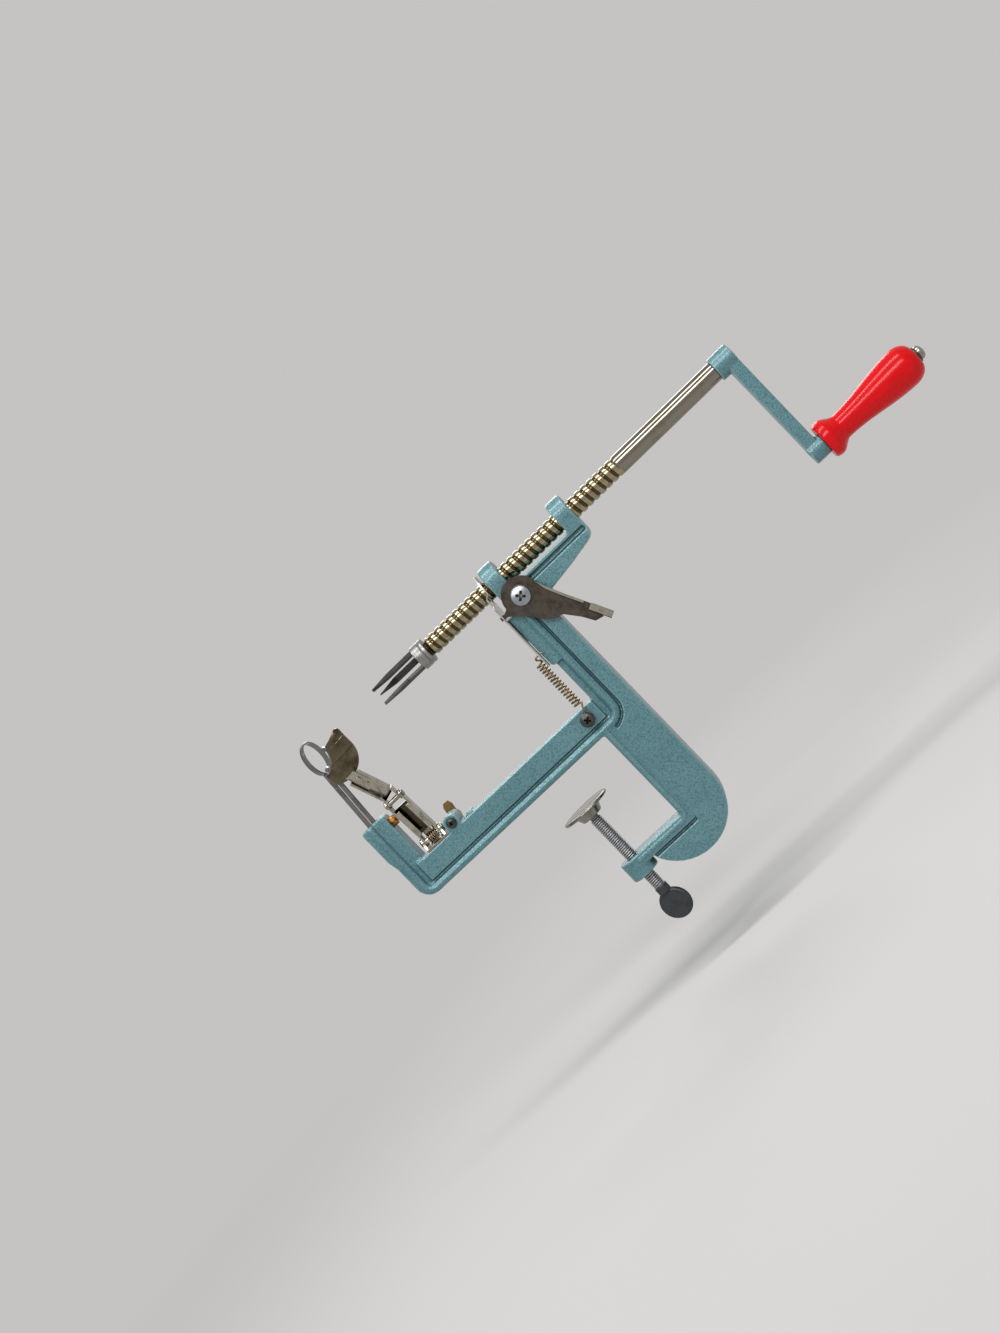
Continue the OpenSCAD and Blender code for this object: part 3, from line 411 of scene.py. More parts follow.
# %% [markdown]
# ## Thread finishes
# The thread's roots are painted darker than its crests, a painted shade. How far a point is from the axis
# tells crest from root, so the same surface can be pale on top and brown below. Two finishes on
# chosen faces could do it too, but they would meet in a hard line.

# %% Thread finishes
GREASE_A_METRE = 300
GRAIN_A_METRE = 1200
GRAIN_DENT = 0.00002


def vector_math(nodes, links, operation, vector, other=(0, 0, 0)):
    """A vector worked on by another one, or its length as a value."""
    node = nodes.new("ShaderNodeVectorMath")
    node.operation = operation
    node.inputs[1].default_value = other
    links.new(vector, node.inputs[0])
    return node.outputs["Value" if operation == "LENGTH" else "Vector"]


def thread_metal(name, centre, radii, crest, root, shine):
    """Metal whose colour runs from a dark root, painted shade, to a paler crest by the distance from an axis.

    centre is a point of the axis and the axis's number, radii those of root and crest, in metres.
    """
    material, nodes, links, shader, place = finish_base(name)
    point, axis = centre
    shift = vector_math(nodes, links, "SUBTRACT", place, point)
    flat = vector_math(nodes, links, "MULTIPLY", shift, [0 if k == axis else 1 for k in range(3)])
    reach = vector_math(nodes, links, "LENGTH", flat)
    height = span(nodes, links, reach, *radii, 0.0, 1.0)
    cloud = noise(nodes, links, place, GREASE_A_METRE, 4)
    middle = [(a + b) / 2 for a, b in zip(root, crest)]
    # Painted shade: the roots are darker than the crests.
    painted_light = ramp(nodes, links, height, [(0.0, root), (0.55, middle), (1.0, crest)])
    stained = blend(nodes, links, span(nodes, links, cloud, 0.5, 0.75, 0.0, 0.55), painted_light, (*root, 1))
    links.new(stained, shader.inputs["Base Color"])
    fill(shader, {"Metallic": 1.0})
    fine = noise(nodes, links, place, GRAIN_A_METRE, 3)
    links.new(span(nodes, links, fine, 0.3, 0.7, *shine), shader.inputs["Roughness"])
    dent(nodes, links, shader, fine, GRAIN_DENT)
    return material


SHAFT_Z = 110.5
# In each pair of colours below, the darker one is the root's painted shade.
shaft_metal = thread_metal("shaft metal", ((0, 0, SHAFT_Z * MM), 0), (0.0055, 0.0062), (0.36, 0.31, 0.20),
                           (0.085, 0.058, 0.024), (0.14, 0.26))
clamp_metal = thread_metal("clamp metal", ((0, 0, 0), 2), (0.0033, 0.0039), (0.44, 0.45, 0.465),
                           (0.16, 0.16, 0.165), (0.24, 0.40))
print("thread finishes", shaft_metal.name, clamp_metal.name)


# %% [markdown]
# ## Red lacquer
# The grip is turned wood under thick red lacquer. Under the gloss the colour is deep and almost even,
# with long faint streaks along the grain. Noise stretched along the grip draws the streaks, and the
# shader's own coat gives the gloss, so that the colour under it stays plain.

# %% Red lacquer
STREAK_STRETCH = (0.12, 1.0, 1.0)
STREAKS_A_METRE = 520
RED_TONES = [(0.25, (0.56, 0.0, 0.002)), (0.75, (0.70, 0.0, 0.004))]


def red_lacquer():
    """Glossy red: streaks from noise stretched along X, under a clear coat."""
    material, nodes, links, shader, place = finish_base("red lacquer")
    stretch = nodes.new("ShaderNodeMapping")
    fill(stretch, {"Scale": STREAK_STRETCH})
    links.new(place, stretch.inputs["Vector"])
    streak = noise(nodes, links, stretch.outputs["Vector"], STREAKS_A_METRE, 4)
    links.new(ramp(nodes, links, streak, RED_TONES), shader.inputs["Base Color"])
    fill(shader, {"Roughness": 0.30, "Specular IOR Level": 0.05, "Coat Weight": 0.4, "Coat Roughness": 0.17})
    return material


lacquer = red_lacquer()
print("finish", lacquer.name)

# %% [markdown]
# ## The frame casting and the crank
# One die casting carries everything: the arm, the post, the jaw and the two bearing lugs, with round
# beads along its inner edges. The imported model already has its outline, beads and holes, so it is a
# casting copy, in cells under a millimetre that keep the beads and grooves. The crank's arm is a
# smaller casting in the same enamel, smoothed more, so that its web runs softly into both bosses.

# %% Frame casting and crank
cast("frame_casting", "casting", 0.74, 5, enamel, "frame")
cast("crank_arm", "crank", 0.5, 20, enamel, "shaft")

# %% [markdown]
# ## The feed shaft
# A coarse round-cornered thread pulls the fruit past the blade. Its surface is a helix: one parameter
# runs round and along the shaft, the other across one turn of the thread. Points past either end are
# held at the end's plane and brought to one radius, so the thread runs out into the plain shaft.
# A Screw modifier could wind it as well, but it has no such run-out. The thread is turned so that the
# middle of a root faces the half nut's tooth.

# %% Turned profiles and threads
ALONG_X = (1, 0, 0)
ALONG_Y = (0, 1, 0)
ALONG_Z = (0, 0, 1)
ASKEW = (0.3, 0.5, 0.8)
CORNER_SHARE = 0.45


def turned(profile, origin, axis, sides=48):
    """Surface of revolution: profile rows (radius, travel) turned round an axis through origin.

    P(s, a) = origin + travel(s) axis + radius(s) (cos a u + sin a w), with u and w square to the axis.
    """
    profile = np.asarray(profile, float)
    axis = np.asarray(axis, float)
    u = np.cross(axis, ASKEW)
    u /= np.linalg.norm(u)
    w = np.cross(axis, u)
    a = np.linspace(0, 2 * np.pi, sides, endpoint=False)
    spoke = np.cos(a)[:, None] * u + np.sin(a)[:, None] * w
    points = np.asarray(origin, float) + profile[:, None, 1:] * axis + profile[:, None, :1] * spoke
    return points.reshape(-1, 3), grid_quads(len(profile), sides, wrap_cols=True)


def rounded(corners, radius, steps=4):
    """A profile with each inner corner replaced by a quadratic curve.

    The curve runs between the points that lie radius away from the corner on its two sides.
    """
    corners = np.asarray(corners, float)
    before = corners[:-2] - corners[1:-1]
    after = corners[2:] - corners[1:-1]
    len_b = np.linalg.norm(before, axis=1, keepdims=True)
    len_a = np.linalg.norm(after, axis=1, keepdims=True)
    start = corners[1:-1] + before / len_b * np.minimum(radius, CORNER_SHARE * len_b)
    stop = corners[1:-1] + after / len_a * np.minimum(radius, CORNER_SHARE * len_a)
    t = np.linspace(0, 1, steps)[None, :, None]
    curve = (1 - t) ** 2 * start[:, None] + 2 * t * (1 - t) * corners[1:-1, None] + t**2 * stop[:, None]
    return np.vstack([corners[:1], curve.reshape(-1, corners.shape[1]), corners[-1:]])


def eased(t):
    """Smooth step from 0 to 1: 3 t^2 - 2 t^3, held outside that range."""
    t = np.clip(t, 0, 1)
    return t * t * (3 - 2 * t)


def helix_thread(start, stop, pitch, rows, ends, steps, shift, axis):
    """Thread: P(u, v) at travel x = start + pitch (u / 2 pi + v) and radius r(v), angle u + shift.

    rows are (share of the pitch, radius); ends are the radii that the thread runs out to.
    """
    turns = int(math.ceil((stop - start) / pitch)) + 1
    u = np.linspace(-2 * math.pi, 2 * math.pi * turns, (turns + 1) * steps + 1)[:, None]
    v = np.append(rows[:, 0], 1.0)[None]
    radius = np.append(rows[:, 1], rows[0, 1])[None]
    travel = start + pitch * (u / (2 * math.pi) + v)
    in_first = eased((travel - start) / (0.5 * pitch))
    in_last = eased((stop - travel) / (0.25 * pitch))
    radius = ends[0] + (radius - ends[0]) * in_first
    radius = ends[1] + (radius - ends[1]) * in_last
    travel = np.clip(travel, start, stop)
    angle = u + shift + 0 * v
    if axis == 0:
        points = np.stack([travel, radius * np.sin(angle), radius * -np.cos(angle)], -1)
    else:
        points = np.stack([radius * np.cos(angle), radius * np.sin(angle), travel], -1)
    return points.reshape(-1, 3), grid_quads(u.shape[0], v.shape[1])


# %% Feed shaft
SHAFT_R = 6.3
ROOT_R = 5.5
CORE_R = 4.8
NOSE_R = 4.5
HUB_R = 5
HUB_X = 235.5
SHAFT_ENDS = (-9.6, 249.9)
THREAD_X = -0.7
THREAD_END = 157.0
FEED_PITCH = 5.08
ROOT_MIDDLE = 0.8
TOOTH_X = 49.0
TOOTH_SHARE = (TOOTH_X - THREAD_X) / FEED_PITCH % 1.0
FEED_SHIFT = math.radians(180.0 + 360.0 * ROOT_MIDDLE) - 2 * math.pi * TOOTH_SHARE
feed_rows = np.array([
    [0.00, 6.02], [0.04, 6.18], [0.12, 6.24], [0.30, 6.26], [0.48, 6.24], [0.56, 6.18], [0.60, 6.02],
    [0.63, 5.76], [0.66, 5.56], [0.71, ROOT_R], [0.89, ROOT_R], [0.94, 5.56], [0.97, 5.76]])
thread_points, thread_quads = helix_thread(
    THREAD_X, THREAD_END, FEED_PITCH, feed_rows, ends=(CORE_R, SHAFT_R), steps=40, shift=FEED_SHIFT, axis=0)
thread_points = thread_points + [0, 0, SHAFT_Z]
core_end = THREAD_END - 0.2
core_rows = [[0, SHAFT_ENDS[0]], [NOSE_R, SHAFT_ENDS[0]], [NOSE_R, -1.4], [CORE_R, -1.4], [CORE_R, 6],
             [CORE_R, core_end], [0, core_end]]
core = turned(rounded(core_rows, 0.3), (0, 0, SHAFT_Z), ALONG_X, 64)
shaft = make_piece("shaft", joined((thread_points, thread_quads), core), 50)
seat(shaft, shaft_metal, "shaft", ["feed_shaft"])
plain_x = THREAD_END - 0.1
plain_rows = [[0, plain_x], [SHAFT_R, plain_x], [SHAFT_R, HUB_X], [HUB_R, HUB_X], [HUB_R, SHAFT_ENDS[1]],
              [0, SHAFT_ENDS[1]]]
plain = make_piece("plain_shaft", turned(rounded(plain_rows, 0.3), (0, 0, SHAFT_Z), ALONG_X, 96))
plain.data.materials.append(polished)
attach(plain, "shaft")

# %% [markdown]
# ## Collar and fork
# A turned collar closes the thread, and three flat prongs in it hold the fruit. The collar is a turned
# profile with broken edges, a shallow groove and a cup at its end. The prongs are flat steel with
# straight edges, so a pressed copy is enough.

# %% Collar and fork
collar_rows = [
    [4.58, -1.5], [8.5, -1.5], [8.5, -3.6], [7.9, -4.1], [8.5, -4.6], [8.5, -10], [7.7, -10], [7.7, -6.9],
    [4.58, -6.9], [4.58, -1.5]]
collar = make_piece("collar", turned(rounded(collar_rows, 0.4), (0, 0, SHAFT_Z), ALONG_X, 64))
seat(collar, collar_zinc, "feed", ["fork_collar"])
pressed("apple_fork", "fork", 0.35, dark_steel, "shaft")

# %% [markdown]
# ## The grip and its bolt
# The grip swells from a flared collar to a full end. It came off a lathe, so it is made like that: its
# radius is a row of smooth steps along its length, turned round the handle's axis. The bolt's dome and
# the washer are turned too.

# %% Grip
HANDLE_Z = 36.0
GRIP_X = 252.22
GRIP_LEN = 71.5
GRIP_R = 12.8
GRIP_BORE = 3.08
FLARE_END = 0.06
WAIST_END = 0.19
SWELL_END = 0.86


def grip_radius(t):
    """Radius along the grip: a short flare, a waist, a long swell, then a quarter ellipse to the end."""
    flare = 0.90 + 0.07 * np.sin(np.pi / 2 * t / FLARE_END)
    waist = 0.80 + 0.17 * np.cos(np.pi * (t - FLARE_END) / (WAIST_END - FLARE_END))
    swell = 0.815 - 0.185 * np.cos(np.pi * (t - WAIST_END) / (SWELL_END - WAIST_END))
    close = 0.42 + 0.58 * np.sqrt(np.clip(1 - ((t - SWELL_END) / (1 - SWELL_END)) ** 2, 0, 1))
    return GRIP_R * np.select([t < FLARE_END, t < WAIST_END, t < SWELL_END], [flare, waist, swell], close)


round_end = SWELL_END + (1 - SWELL_END) * np.sin(np.linspace(0, np.pi / 2, 24))[1:]
grip_t = np.concatenate([np.linspace(0, SWELL_END, 90), round_end])
grip_rows = np.column_stack([grip_radius(grip_t), GRIP_LEN * grip_t])
lip = [[GRIP_BORE, 0.0], [grip_rows[0, 0] - 0.5, 0.0]]
grip_rows = np.vstack([lip, grip_rows[1:], [[GRIP_BORE, GRIP_LEN], [GRIP_BORE, 0.0]]])
grip = make_piece("grip", turned(grip_rows, (GRIP_X, 0, HANDLE_Z), ALONG_X, 72))
seat(grip, lacquer, "grip", ["handle_grip"])

# %% Washer and bolt
WASHER_X = 324.84
WASHER_HOLE = 3.05
WASHER_R = 5.27
BOLT_X = 242.5
BOLT_R = 3.0
HEAD_R = 4.5
washer_rows = [[WASHER_HOLE, WASHER_X - 1], [WASHER_R, WASHER_X - 1], [WASHER_R, WASHER_X],
               [WASHER_HOLE, WASHER_X], [WASHER_HOLE, WASHER_X - 1]]
washer = make_piece("washer", turned(rounded(washer_rows, 0.3), (0, 0, HANDLE_Z), ALONG_X))
seat(washer, dark_steel, "shaft", ["grip_washer"])
dome_a = np.linspace(0, np.pi / 2, 14)
dome = np.column_stack([HEAD_R * np.cos(dome_a), WASHER_X + 1.6 + 2.6 * np.sin(dome_a)])
under_head = WASHER_X + 0.12
bolt_rows = [[0, BOLT_X], [BOLT_R, BOLT_X], [BOLT_R, under_head], [HEAD_R - 0.3, under_head],
             [HEAD_R, WASHER_X + 0.5]]
bolt = make_piece("bolt", turned(np.vstack([bolt_rows, dome]), (0, 0, HANDLE_Z), ALONG_X))
seat(bolt, nickel, "shaft", ["handle_bolt"])

# %% [markdown]
# ## Screws with a cross recess
# Three screws show a low dome with a cross. The head is a polar grid: one parameter is the share of the
# radius, the other the angle, and the height is the dome less a smooth cross. Cutting the cross out with
# a Boolean would leave knife edges, where the real ones are worn round.

# %% Screws
SCREW_SIDES = 160
SLOT_HALF = 0.125
SLOT_END = 0.48
SLOT_SOFT = 0.035
END_SOFT = 0.08
SLOT_DEPTH = 0.62
DOME_FALL = 0.42
EDGE_FALL = 0.3
EDGE_FROM = 0.9
ANCHOR_X = 40.0
ANCHOR_Z = 14.0


def soft_slot(across, along):
    """1 inside a slot SLOT_HALF to each side and SLOT_END to each end, falling softly to 0 at its walls."""
    return eased((SLOT_HALF - np.abs(across)) / SLOT_SOFT) * eased((SLOT_END - np.abs(along)) / END_SOFT)


def cross_screw(x, y, z, radius, height, turn, shank, tip):
    """Head along -Y on a seat at x, y, z: height(p, a) = dome(p) - recess, two crossed soft slots.

    turn is the cross's angle in degrees, shank the shaft's radius and tip the Y of the shaft's end.
    """
    shares = (np.linspace(0, 0.60, 60), np.linspace(0.63, 0.88, 9), np.linspace(0.90, 1, 7))
    p = np.concatenate(shares)[:, None]
    a = np.linspace(0, 2 * np.pi, SCREW_SIDES, endpoint=False)[None]
    u = p * np.cos(a - math.radians(turn))
    w = p * np.sin(a - math.radians(turn))
    recess = SLOT_DEPTH * height * np.maximum(soft_slot(u, w), soft_slot(w, u))
    edge = EDGE_FALL * height * eased((p - EDGE_FROM) / (1 - EDGE_FROM))
    tall = height * (1 - DOME_FALL * p**2) - edge - recess
    top = np.stack([x + radius * p * np.cos(a), y - tall, z + radius * p * np.sin(a)], -1)
    wall = top[-1:] * [1, 0, 1] + [0, y, 0]
    foot = np.stack([x + shank * np.cos(a), y + 0 * a, z + shank * np.sin(a)], -1)
    last = foot * [1, 0, 1] + [0, tip, 0]
    rows = np.concatenate([top, wall, foot, last])
    return rows.reshape(-1, 3), grid_quads(rows.shape[0], SCREW_SIDES, wrap_cols=True)


PIVOT = (63.0, -13.52, 94.8, 6.4, 3.4, 44, 3.0, 3.0)
ANCHOR = (ANCHOR_X, -12.3, ANCHOR_Z, 4.5, 3.0, 40, 2.1, -1.0)
BOSS = (-64.0, -9.12, 25.0, 3.2, 2.2, 15, 2.5, 15.4)
for name, node, sizes, finish, slot in (
        ("pivot_screw", "lever_screw", PIVOT, screw_zinc, "bright_steel"),
        ("anchor_screw", "spring_screw", ANCHOR, dark_steel, "dark_steel"),
        ("boss_screw", "stop_screw", BOSS, dark_steel, "dark_steel")):
    seat(make_piece(name, cross_screw(*sizes)), finish, "frame", [node])

# %% [markdown]
# ## Half nut and lever
# Both are pressed from sheet. The lever's long edge is folded forward and its thumb end is rolled. They
# are pressed copies, because the joints need the very shapes of the imported model. What stands in
# front of the lever's plate gets a second, paler finish: a painted highlight.

# %% Half nut and lever
LEVER_FRONT = -0.0137


def second_finish(piece, finish, axis, limit):
    """The faces whose middle is below a limit along an axis, in metres, get a second finish."""
    piece.data.materials.append(finish)
    for face in piece.data.polygons:
        face.material_index = 1 if face.center[axis] < limit else 0


pressed("half_nut_plate", "half_nut", 0.22, plate_steel, "half_nut")
lever = pressed("release_lever", "lever", 0.4, lever_steel, "lever", segments=3)
# Painted highlight: faces in front of the lever's plate get the paler steel.
second_finish(lever, highlight_steel, 1, LEVER_FRONT)

# %% [markdown]
# ## The release spring
# A close-wound wire with a hook at each end. The path is one array: an arc round the anchor screw, a
# lead, the coil as a helix, a second lead and the hook. The hint for its frame points away from the
# coil's axis, and out of the hooks' plane at the ends, so it is never along the wire. A curve object
# could carry the wire too, but its own frame would twist where the coil turns into a hook.

# %% Wires and curves
def wire(path, hint, diameter, sides=12):
    """Round wire: circles carried along a path, P(s, a) = path(s) + r (cos a n(s) + sin a b(s)).

    n is the hint made square to the path's direction, and b is square to both.
    """
    along = np.gradient(path, axis=0)
    along /= np.linalg.norm(along, axis=1, keepdims=True)
    n = hint - (hint * along).sum(1, keepdims=True) * along
    n /= np.linalg.norm(n, axis=1, keepdims=True)
    b = np.cross(along, n)
    a = np.linspace(0, 2 * np.pi, sides, endpoint=False)
    ring = np.cos(a)[None, :, None] * n[:, None] + np.sin(a)[None, :, None] * b[:, None]
    points = path[:, None] + diameter / 2 * ring
    return points.reshape(-1, 3), grid_quads(len(path), sides, wrap_cols=True)


def curve_through(points, steps):
    """Catmull-Rom curve through points, steps samples a span, with each end step drawn on once."""
    points = np.asarray(points, float)
    ends = np.vstack([2 * points[:1] - points[1:2], points, 2 * points[-1:] - points[-2:-1]])
    p0 = ends[:-3, None]
    p1 = ends[1:-2, None]
    p2 = ends[2:-1, None]
    p3 = ends[3:, None]
    t = np.linspace(0, 1, steps, endpoint=False)[None, :, None]
    spans = 0.5 * (2 * p1 + (p2 - p0) * t + (2 * p0 - 5 * p1 + 4 * p2 - p3) * t**2
                   + (3 * p1 - p0 - 3 * p2 + p3) * t**3)
    return np.vstack([spans.reshape(-1, points.shape[1]), points[-1:]])


# %% Release spring
SPRING_X = 42.3
SPRING_Y = -11.4
SPRING_Z = (24.0, 58.0)
COIL_R = 2.4
COIL_TURNS = 15
COIL_STEPS = 28
HOOK_R = 2.9
HOOK_Z = 62.0
HINT_TURN = 1.2
RELEASE_WIRE = 1.15


def spring_path():
    """Path and hint of the release spring, end to end."""
    arc_a = np.radians(np.linspace(-200, 0, 40))
    anchor = np.column_stack([
        ANCHOR_X + HOOK_R * np.cos(arc_a), 0 * arc_a + SPRING_Y, ANCHOR_Z + HOOK_R * np.sin(arc_a)])
    side_x = ANCHOR_X + HOOK_R
    coil_x = SPRING_X + COIL_R
    lead = curve_through([
        [side_x, SPRING_Y, ANCHOR_Z], [side_x, SPRING_Y, 18], [side_x, SPRING_Y, 21.2],
        [43.9, SPRING_Y, 22.8], [coil_x, SPRING_Y, SPRING_Z[0]]], 8)
    coil_a = np.linspace(0, 2 * np.pi * COIL_TURNS, COIL_TURNS * COIL_STEPS + 1)
    rise = SPRING_Z[0] + (SPRING_Z[1] - SPRING_Z[0]) * coil_a / coil_a[-1]
    coil = np.column_stack([SPRING_X + COIL_R * np.cos(coil_a), SPRING_Y + COIL_R * np.sin(coil_a), rise])
    tail = curve_through([
        [coil_x, SPRING_Y, SPRING_Z[1]], [43.9, SPRING_Y, 59.4], [42.5, SPRING_Y, 60.7],
        [43.0, SPRING_Y, 61.7], [44.0, SPRING_Y, HOOK_Z], [48.3, SPRING_Y, HOOK_Z]], 8)
    path = np.vstack([anchor[:-1], lead[:-1], coil, tail[1:]])
    away = np.column_stack([np.cos(coil_a), np.sin(coil_a), 0 * coil_a])
    flat_share = eased(np.minimum(coil_a, coil_a[-1] - coil_a) / HINT_TURN)[:, None]
    coil_hint = away * flat_share + np.array(ALONG_Y) * (1 - flat_share)
    before = np.tile(ALONG_Y, (len(anchor) + len(lead) - 2, 1))
    after = np.tile(ALONG_Y, (len(tail) - 1, 1))
    return path, np.vstack([before, coil_hint, after])


release_spring = make_piece("release_coil", wire(*spring_path(), RELEASE_WIRE))
seat(release_spring, spring_wire, None, ["release_spring"])

# %% [markdown]
# ## The clamp
# A fine-threaded screw with a flat thumb paddle pushes a nickel-plated pad against the table. The
# thread is the same helix as before, along Z. The paddle is a flat disc that thins to its rim, with a
# flattened neck and a short collar over it. The pad is a shallow dish on a cup, turned in one profile.

# %% Clamp screw
CLAMP_THREAD = (-90.5, -33.6)
CLAMP_PITCH = 1.41
STEM_R = 2.97
clamp_rows = np.array([
    [0.0, 3.88], [0.10, 3.95], [0.25, 3.97], [0.40, 3.95], [0.50, 3.88], [0.64, 3.50], [0.72, 3.36],
    [0.78, 3.36], [0.86, 3.50]])
clamp_thread = helix_thread(
    *CLAMP_THREAD, CLAMP_PITCH, clamp_rows, ends=(3.9, STEM_R), steps=24, shift=0.0, axis=2)
stem_rows = [[0, -90.4], [STEM_R, -90.4], [STEM_R, -33.0], [STEM_R, -27.4], [5.27, -27.4], [5.27, -26.12],
             [0, -26.12]]
stem = turned(rounded(stem_rows, 0.35), (0, 0, 0), ALONG_Z, 40)
clamp_screw = make_piece("clamp_spindle", joined(clamp_thread, stem))
seat(clamp_screw, clamp_metal, "clamp", ["clamp_screw"])

# %% Thumb paddle and pad
PADDLE_Z = -104.5
PADDLE_TURN = math.radians(-20.0)
RIM = 1.2
RIM_THINS = 0.25
NECK_R = 4.57
NECK_FLAT = 0.46


def paddle(centre_z, radius, thick):
    """Flat disc across Y: rows of rising radius, the last ones round its rim like a worn edge."""
    edge = np.linspace(-np.pi / 2, np.pi / 2, 9)
    face = np.linspace(0, radius - RIM, 8)
    side = thick / 2 - RIM_THINS * eased((face - 2) / radius)
    r = np.concatenate([face, radius - RIM + RIM * np.cos(edge), face[::-1]])
    y = np.concatenate([-side, (thick / 2 - RIM_THINS) * np.sin(edge), side[::-1]])
    return turned(np.column_stack([r, y]), (0, 0, centre_z), ALONG_Y, 64)


def twisted(shell, angle):
    """A shell turned by an angle about the upright axis: x' = x cos a - y sin a, y' = x sin a + y cos a."""
    points, quads = shell
    x = points[:, 0] * math.cos(angle) - points[:, 1] * math.sin(angle)
    y = points[:, 0] * math.sin(angle) + points[:, 1] * math.cos(angle)
    return np.column_stack([x, y, points[:, 2]]), quads


neck_rows = [[0, PADDLE_Z], [NECK_R, PADDLE_Z], [NECK_R, -93.6], [4.2, -92.6], [0, -92.6]]
neck_points, neck_quads = turned(rounded(neck_rows, 0.5), (0, 0, 0), ALONG_Z, 40)
neck = (neck_points * [1, NECK_FLAT, 1], neck_quads)
foot_rows = [[0, -95.5], [4.27, -95.5], [4.27, -90.3], [0, -90.3]]
collar_foot = turned(rounded(foot_rows, 0.35), (0, 0, 0), ALONG_Z, 40)
thumb_shell = joined(paddle(PADDLE_Z, radius=10.5, thick=4.2), neck, collar_foot)
thumb = make_piece("thumb_paddle", twisted(thumb_shell, PADDLE_TURN))
thumb.data.materials.append(paddle_steel)
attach(thumb, "clamp")
pad_rows = [
    [0, -24.0], [16.2, -24.0], [17.0, -24.9], [16.6, -26.0], [9.6, -26.2], [7.2, -31.5], [4.3, -31.5],
    [4.3, -27.6], [5.5, -27.6], [5.5, -26.0], [0, -26.0]]
pad = make_piece("pad", turned(rounded(pad_rows, 0.6), (0, 0, 0), ALONG_Z, 64))
seat(pad, pad_nickel, "pad", ["clamp_pad"])

# %% [markdown]
# ## The slicing ring
# One strip of stainless steel is bent into a loop on two legs. Its path lies in the ring's own plane,
# and its profile is a flat strip with one edge ground sharp, carried along that path. As the path is
# flat, the profile can't twist, and the ground edge stays on one side all the way round.

# %% Slicing ring
RING_AT = (-103.2, 0.0)
RING_TURN = math.radians(-14.0)
RING_LEAN = math.radians(3.5)
RING_MID = 11.5
GROUND = 1.2
EDGE_HALF = 0.06
BACK_SOFT = 0.25


def strip_loop(half, foot_z, width, thick):
    """Strip: path down one leg, over the loop and down the other; profile (across, out) with a ground edge.

    P(s, k) = path(s) + out(k) n(s) + across(k) x, then turned about the upright axis and leant on its foot.
    """
    lean = math.acos(half / RING_MID)
    arc = np.linspace(-lean, math.pi + lean, 90)
    loop = np.column_stack([RING_MID * np.cos(arc), SHAFT_Z + RING_MID * np.sin(arc)])
    leg_z = np.linspace(foot_z, loop[0, 1], 24)[:-1]
    right = np.column_stack([0 * leg_z + half, leg_z])
    left = np.column_stack([0 * leg_z - half, leg_z])[::-1]
    base = np.column_stack([np.linspace(-half, half, 12)[1:-1], np.full(10, foot_z)])
    path = np.vstack([right, loop, left, base])
    step = np.roll(path, -1, 0) - np.roll(path, 1, 0)
    step /= np.linalg.norm(step, axis=1, keepdims=True)
    out = np.column_stack([step[:, 1], -step[:, 0]])
    t = thick / 2
    w = width / 2
    profile = np.array([
        [-w, -EDGE_HALF], [-w + GROUND, -t], [w - BACK_SOFT, -t], [w, -t + BACK_SOFT], [w, t - BACK_SOFT],
        [w - BACK_SOFT, t], [-w + GROUND, t], [-w, EDGE_HALF]])
    across = np.tile(profile[None, :, 0], (len(path), 1))
    yz = path[:, None] + profile[None, :, 1:] * out[:, None]
    c = math.cos(RING_TURN)
    s = math.sin(RING_TURN)
    x = across * c - yz[..., 0] * s
    y = across * s + yz[..., 0] * c
    tall = yz[..., 1] - foot_z
    lean_x = x * math.cos(RING_LEAN) + tall * math.sin(RING_LEAN)
    lean_z = tall * math.cos(RING_LEAN) - x * math.sin(RING_LEAN)
    points = np.stack([RING_AT[0] + lean_x, RING_AT[1] + y, foot_z + lean_z], -1)
    return points.reshape(-1, 3), grid_quads(len(path), len(profile), True, True)


ring = make_piece("ring", strip_loop(half=3.6, foot_z=47.15, width=3.4, thick=1.0), 30)
seat(ring, blade_steel, "frame", ["slicer_ring"])

# %% [markdown]
# ## Small brass and steel pieces
# The stud and its hexagon nut hold the ring's foot, and a wing nut sits behind the boss screw. The nut
# is a turned profile whose radius is cut to a hexagon, which leaves the round chamfer on its corners
# that a beveled hexagon would not have. The wing nut is a small casting, so it is a casting copy.

# %% Small brass and steel pieces
STUD_Z = 50
NUT_X = -92.38
CHAMFER = 0.5


def hex_nut(origin, flat, thick, bore, sides=96):
    """Hexagon nut along X: radius(s, a) is the lesser of a chamfered disc and flat / cos(a in a sixth)."""
    corner = flat / math.cos(math.pi / 6)
    rows = np.array([
        [bore, 0], [corner - CHAMFER, 0], [corner, CHAMFER], [corner, thick - CHAMFER],
        [corner - CHAMFER, thick], [bore, thick], [bore, 0]])
    points, quads = turned(rows, (0, 0, 0), ALONG_X, sides)
    a = np.linspace(0, 2 * np.pi, sides, endpoint=False)
    limit = flat / np.cos((a + np.pi / 6) % (np.pi / 3) - np.pi / 6)
    limit = np.tile(limit, len(rows))
    reach = np.hypot(points[:, 1], points[:, 2])
    share = np.minimum(1, limit / reach)
    points = points * np.column_stack([np.ones_like(share), share, share])
    return points + np.asarray(origin), quads


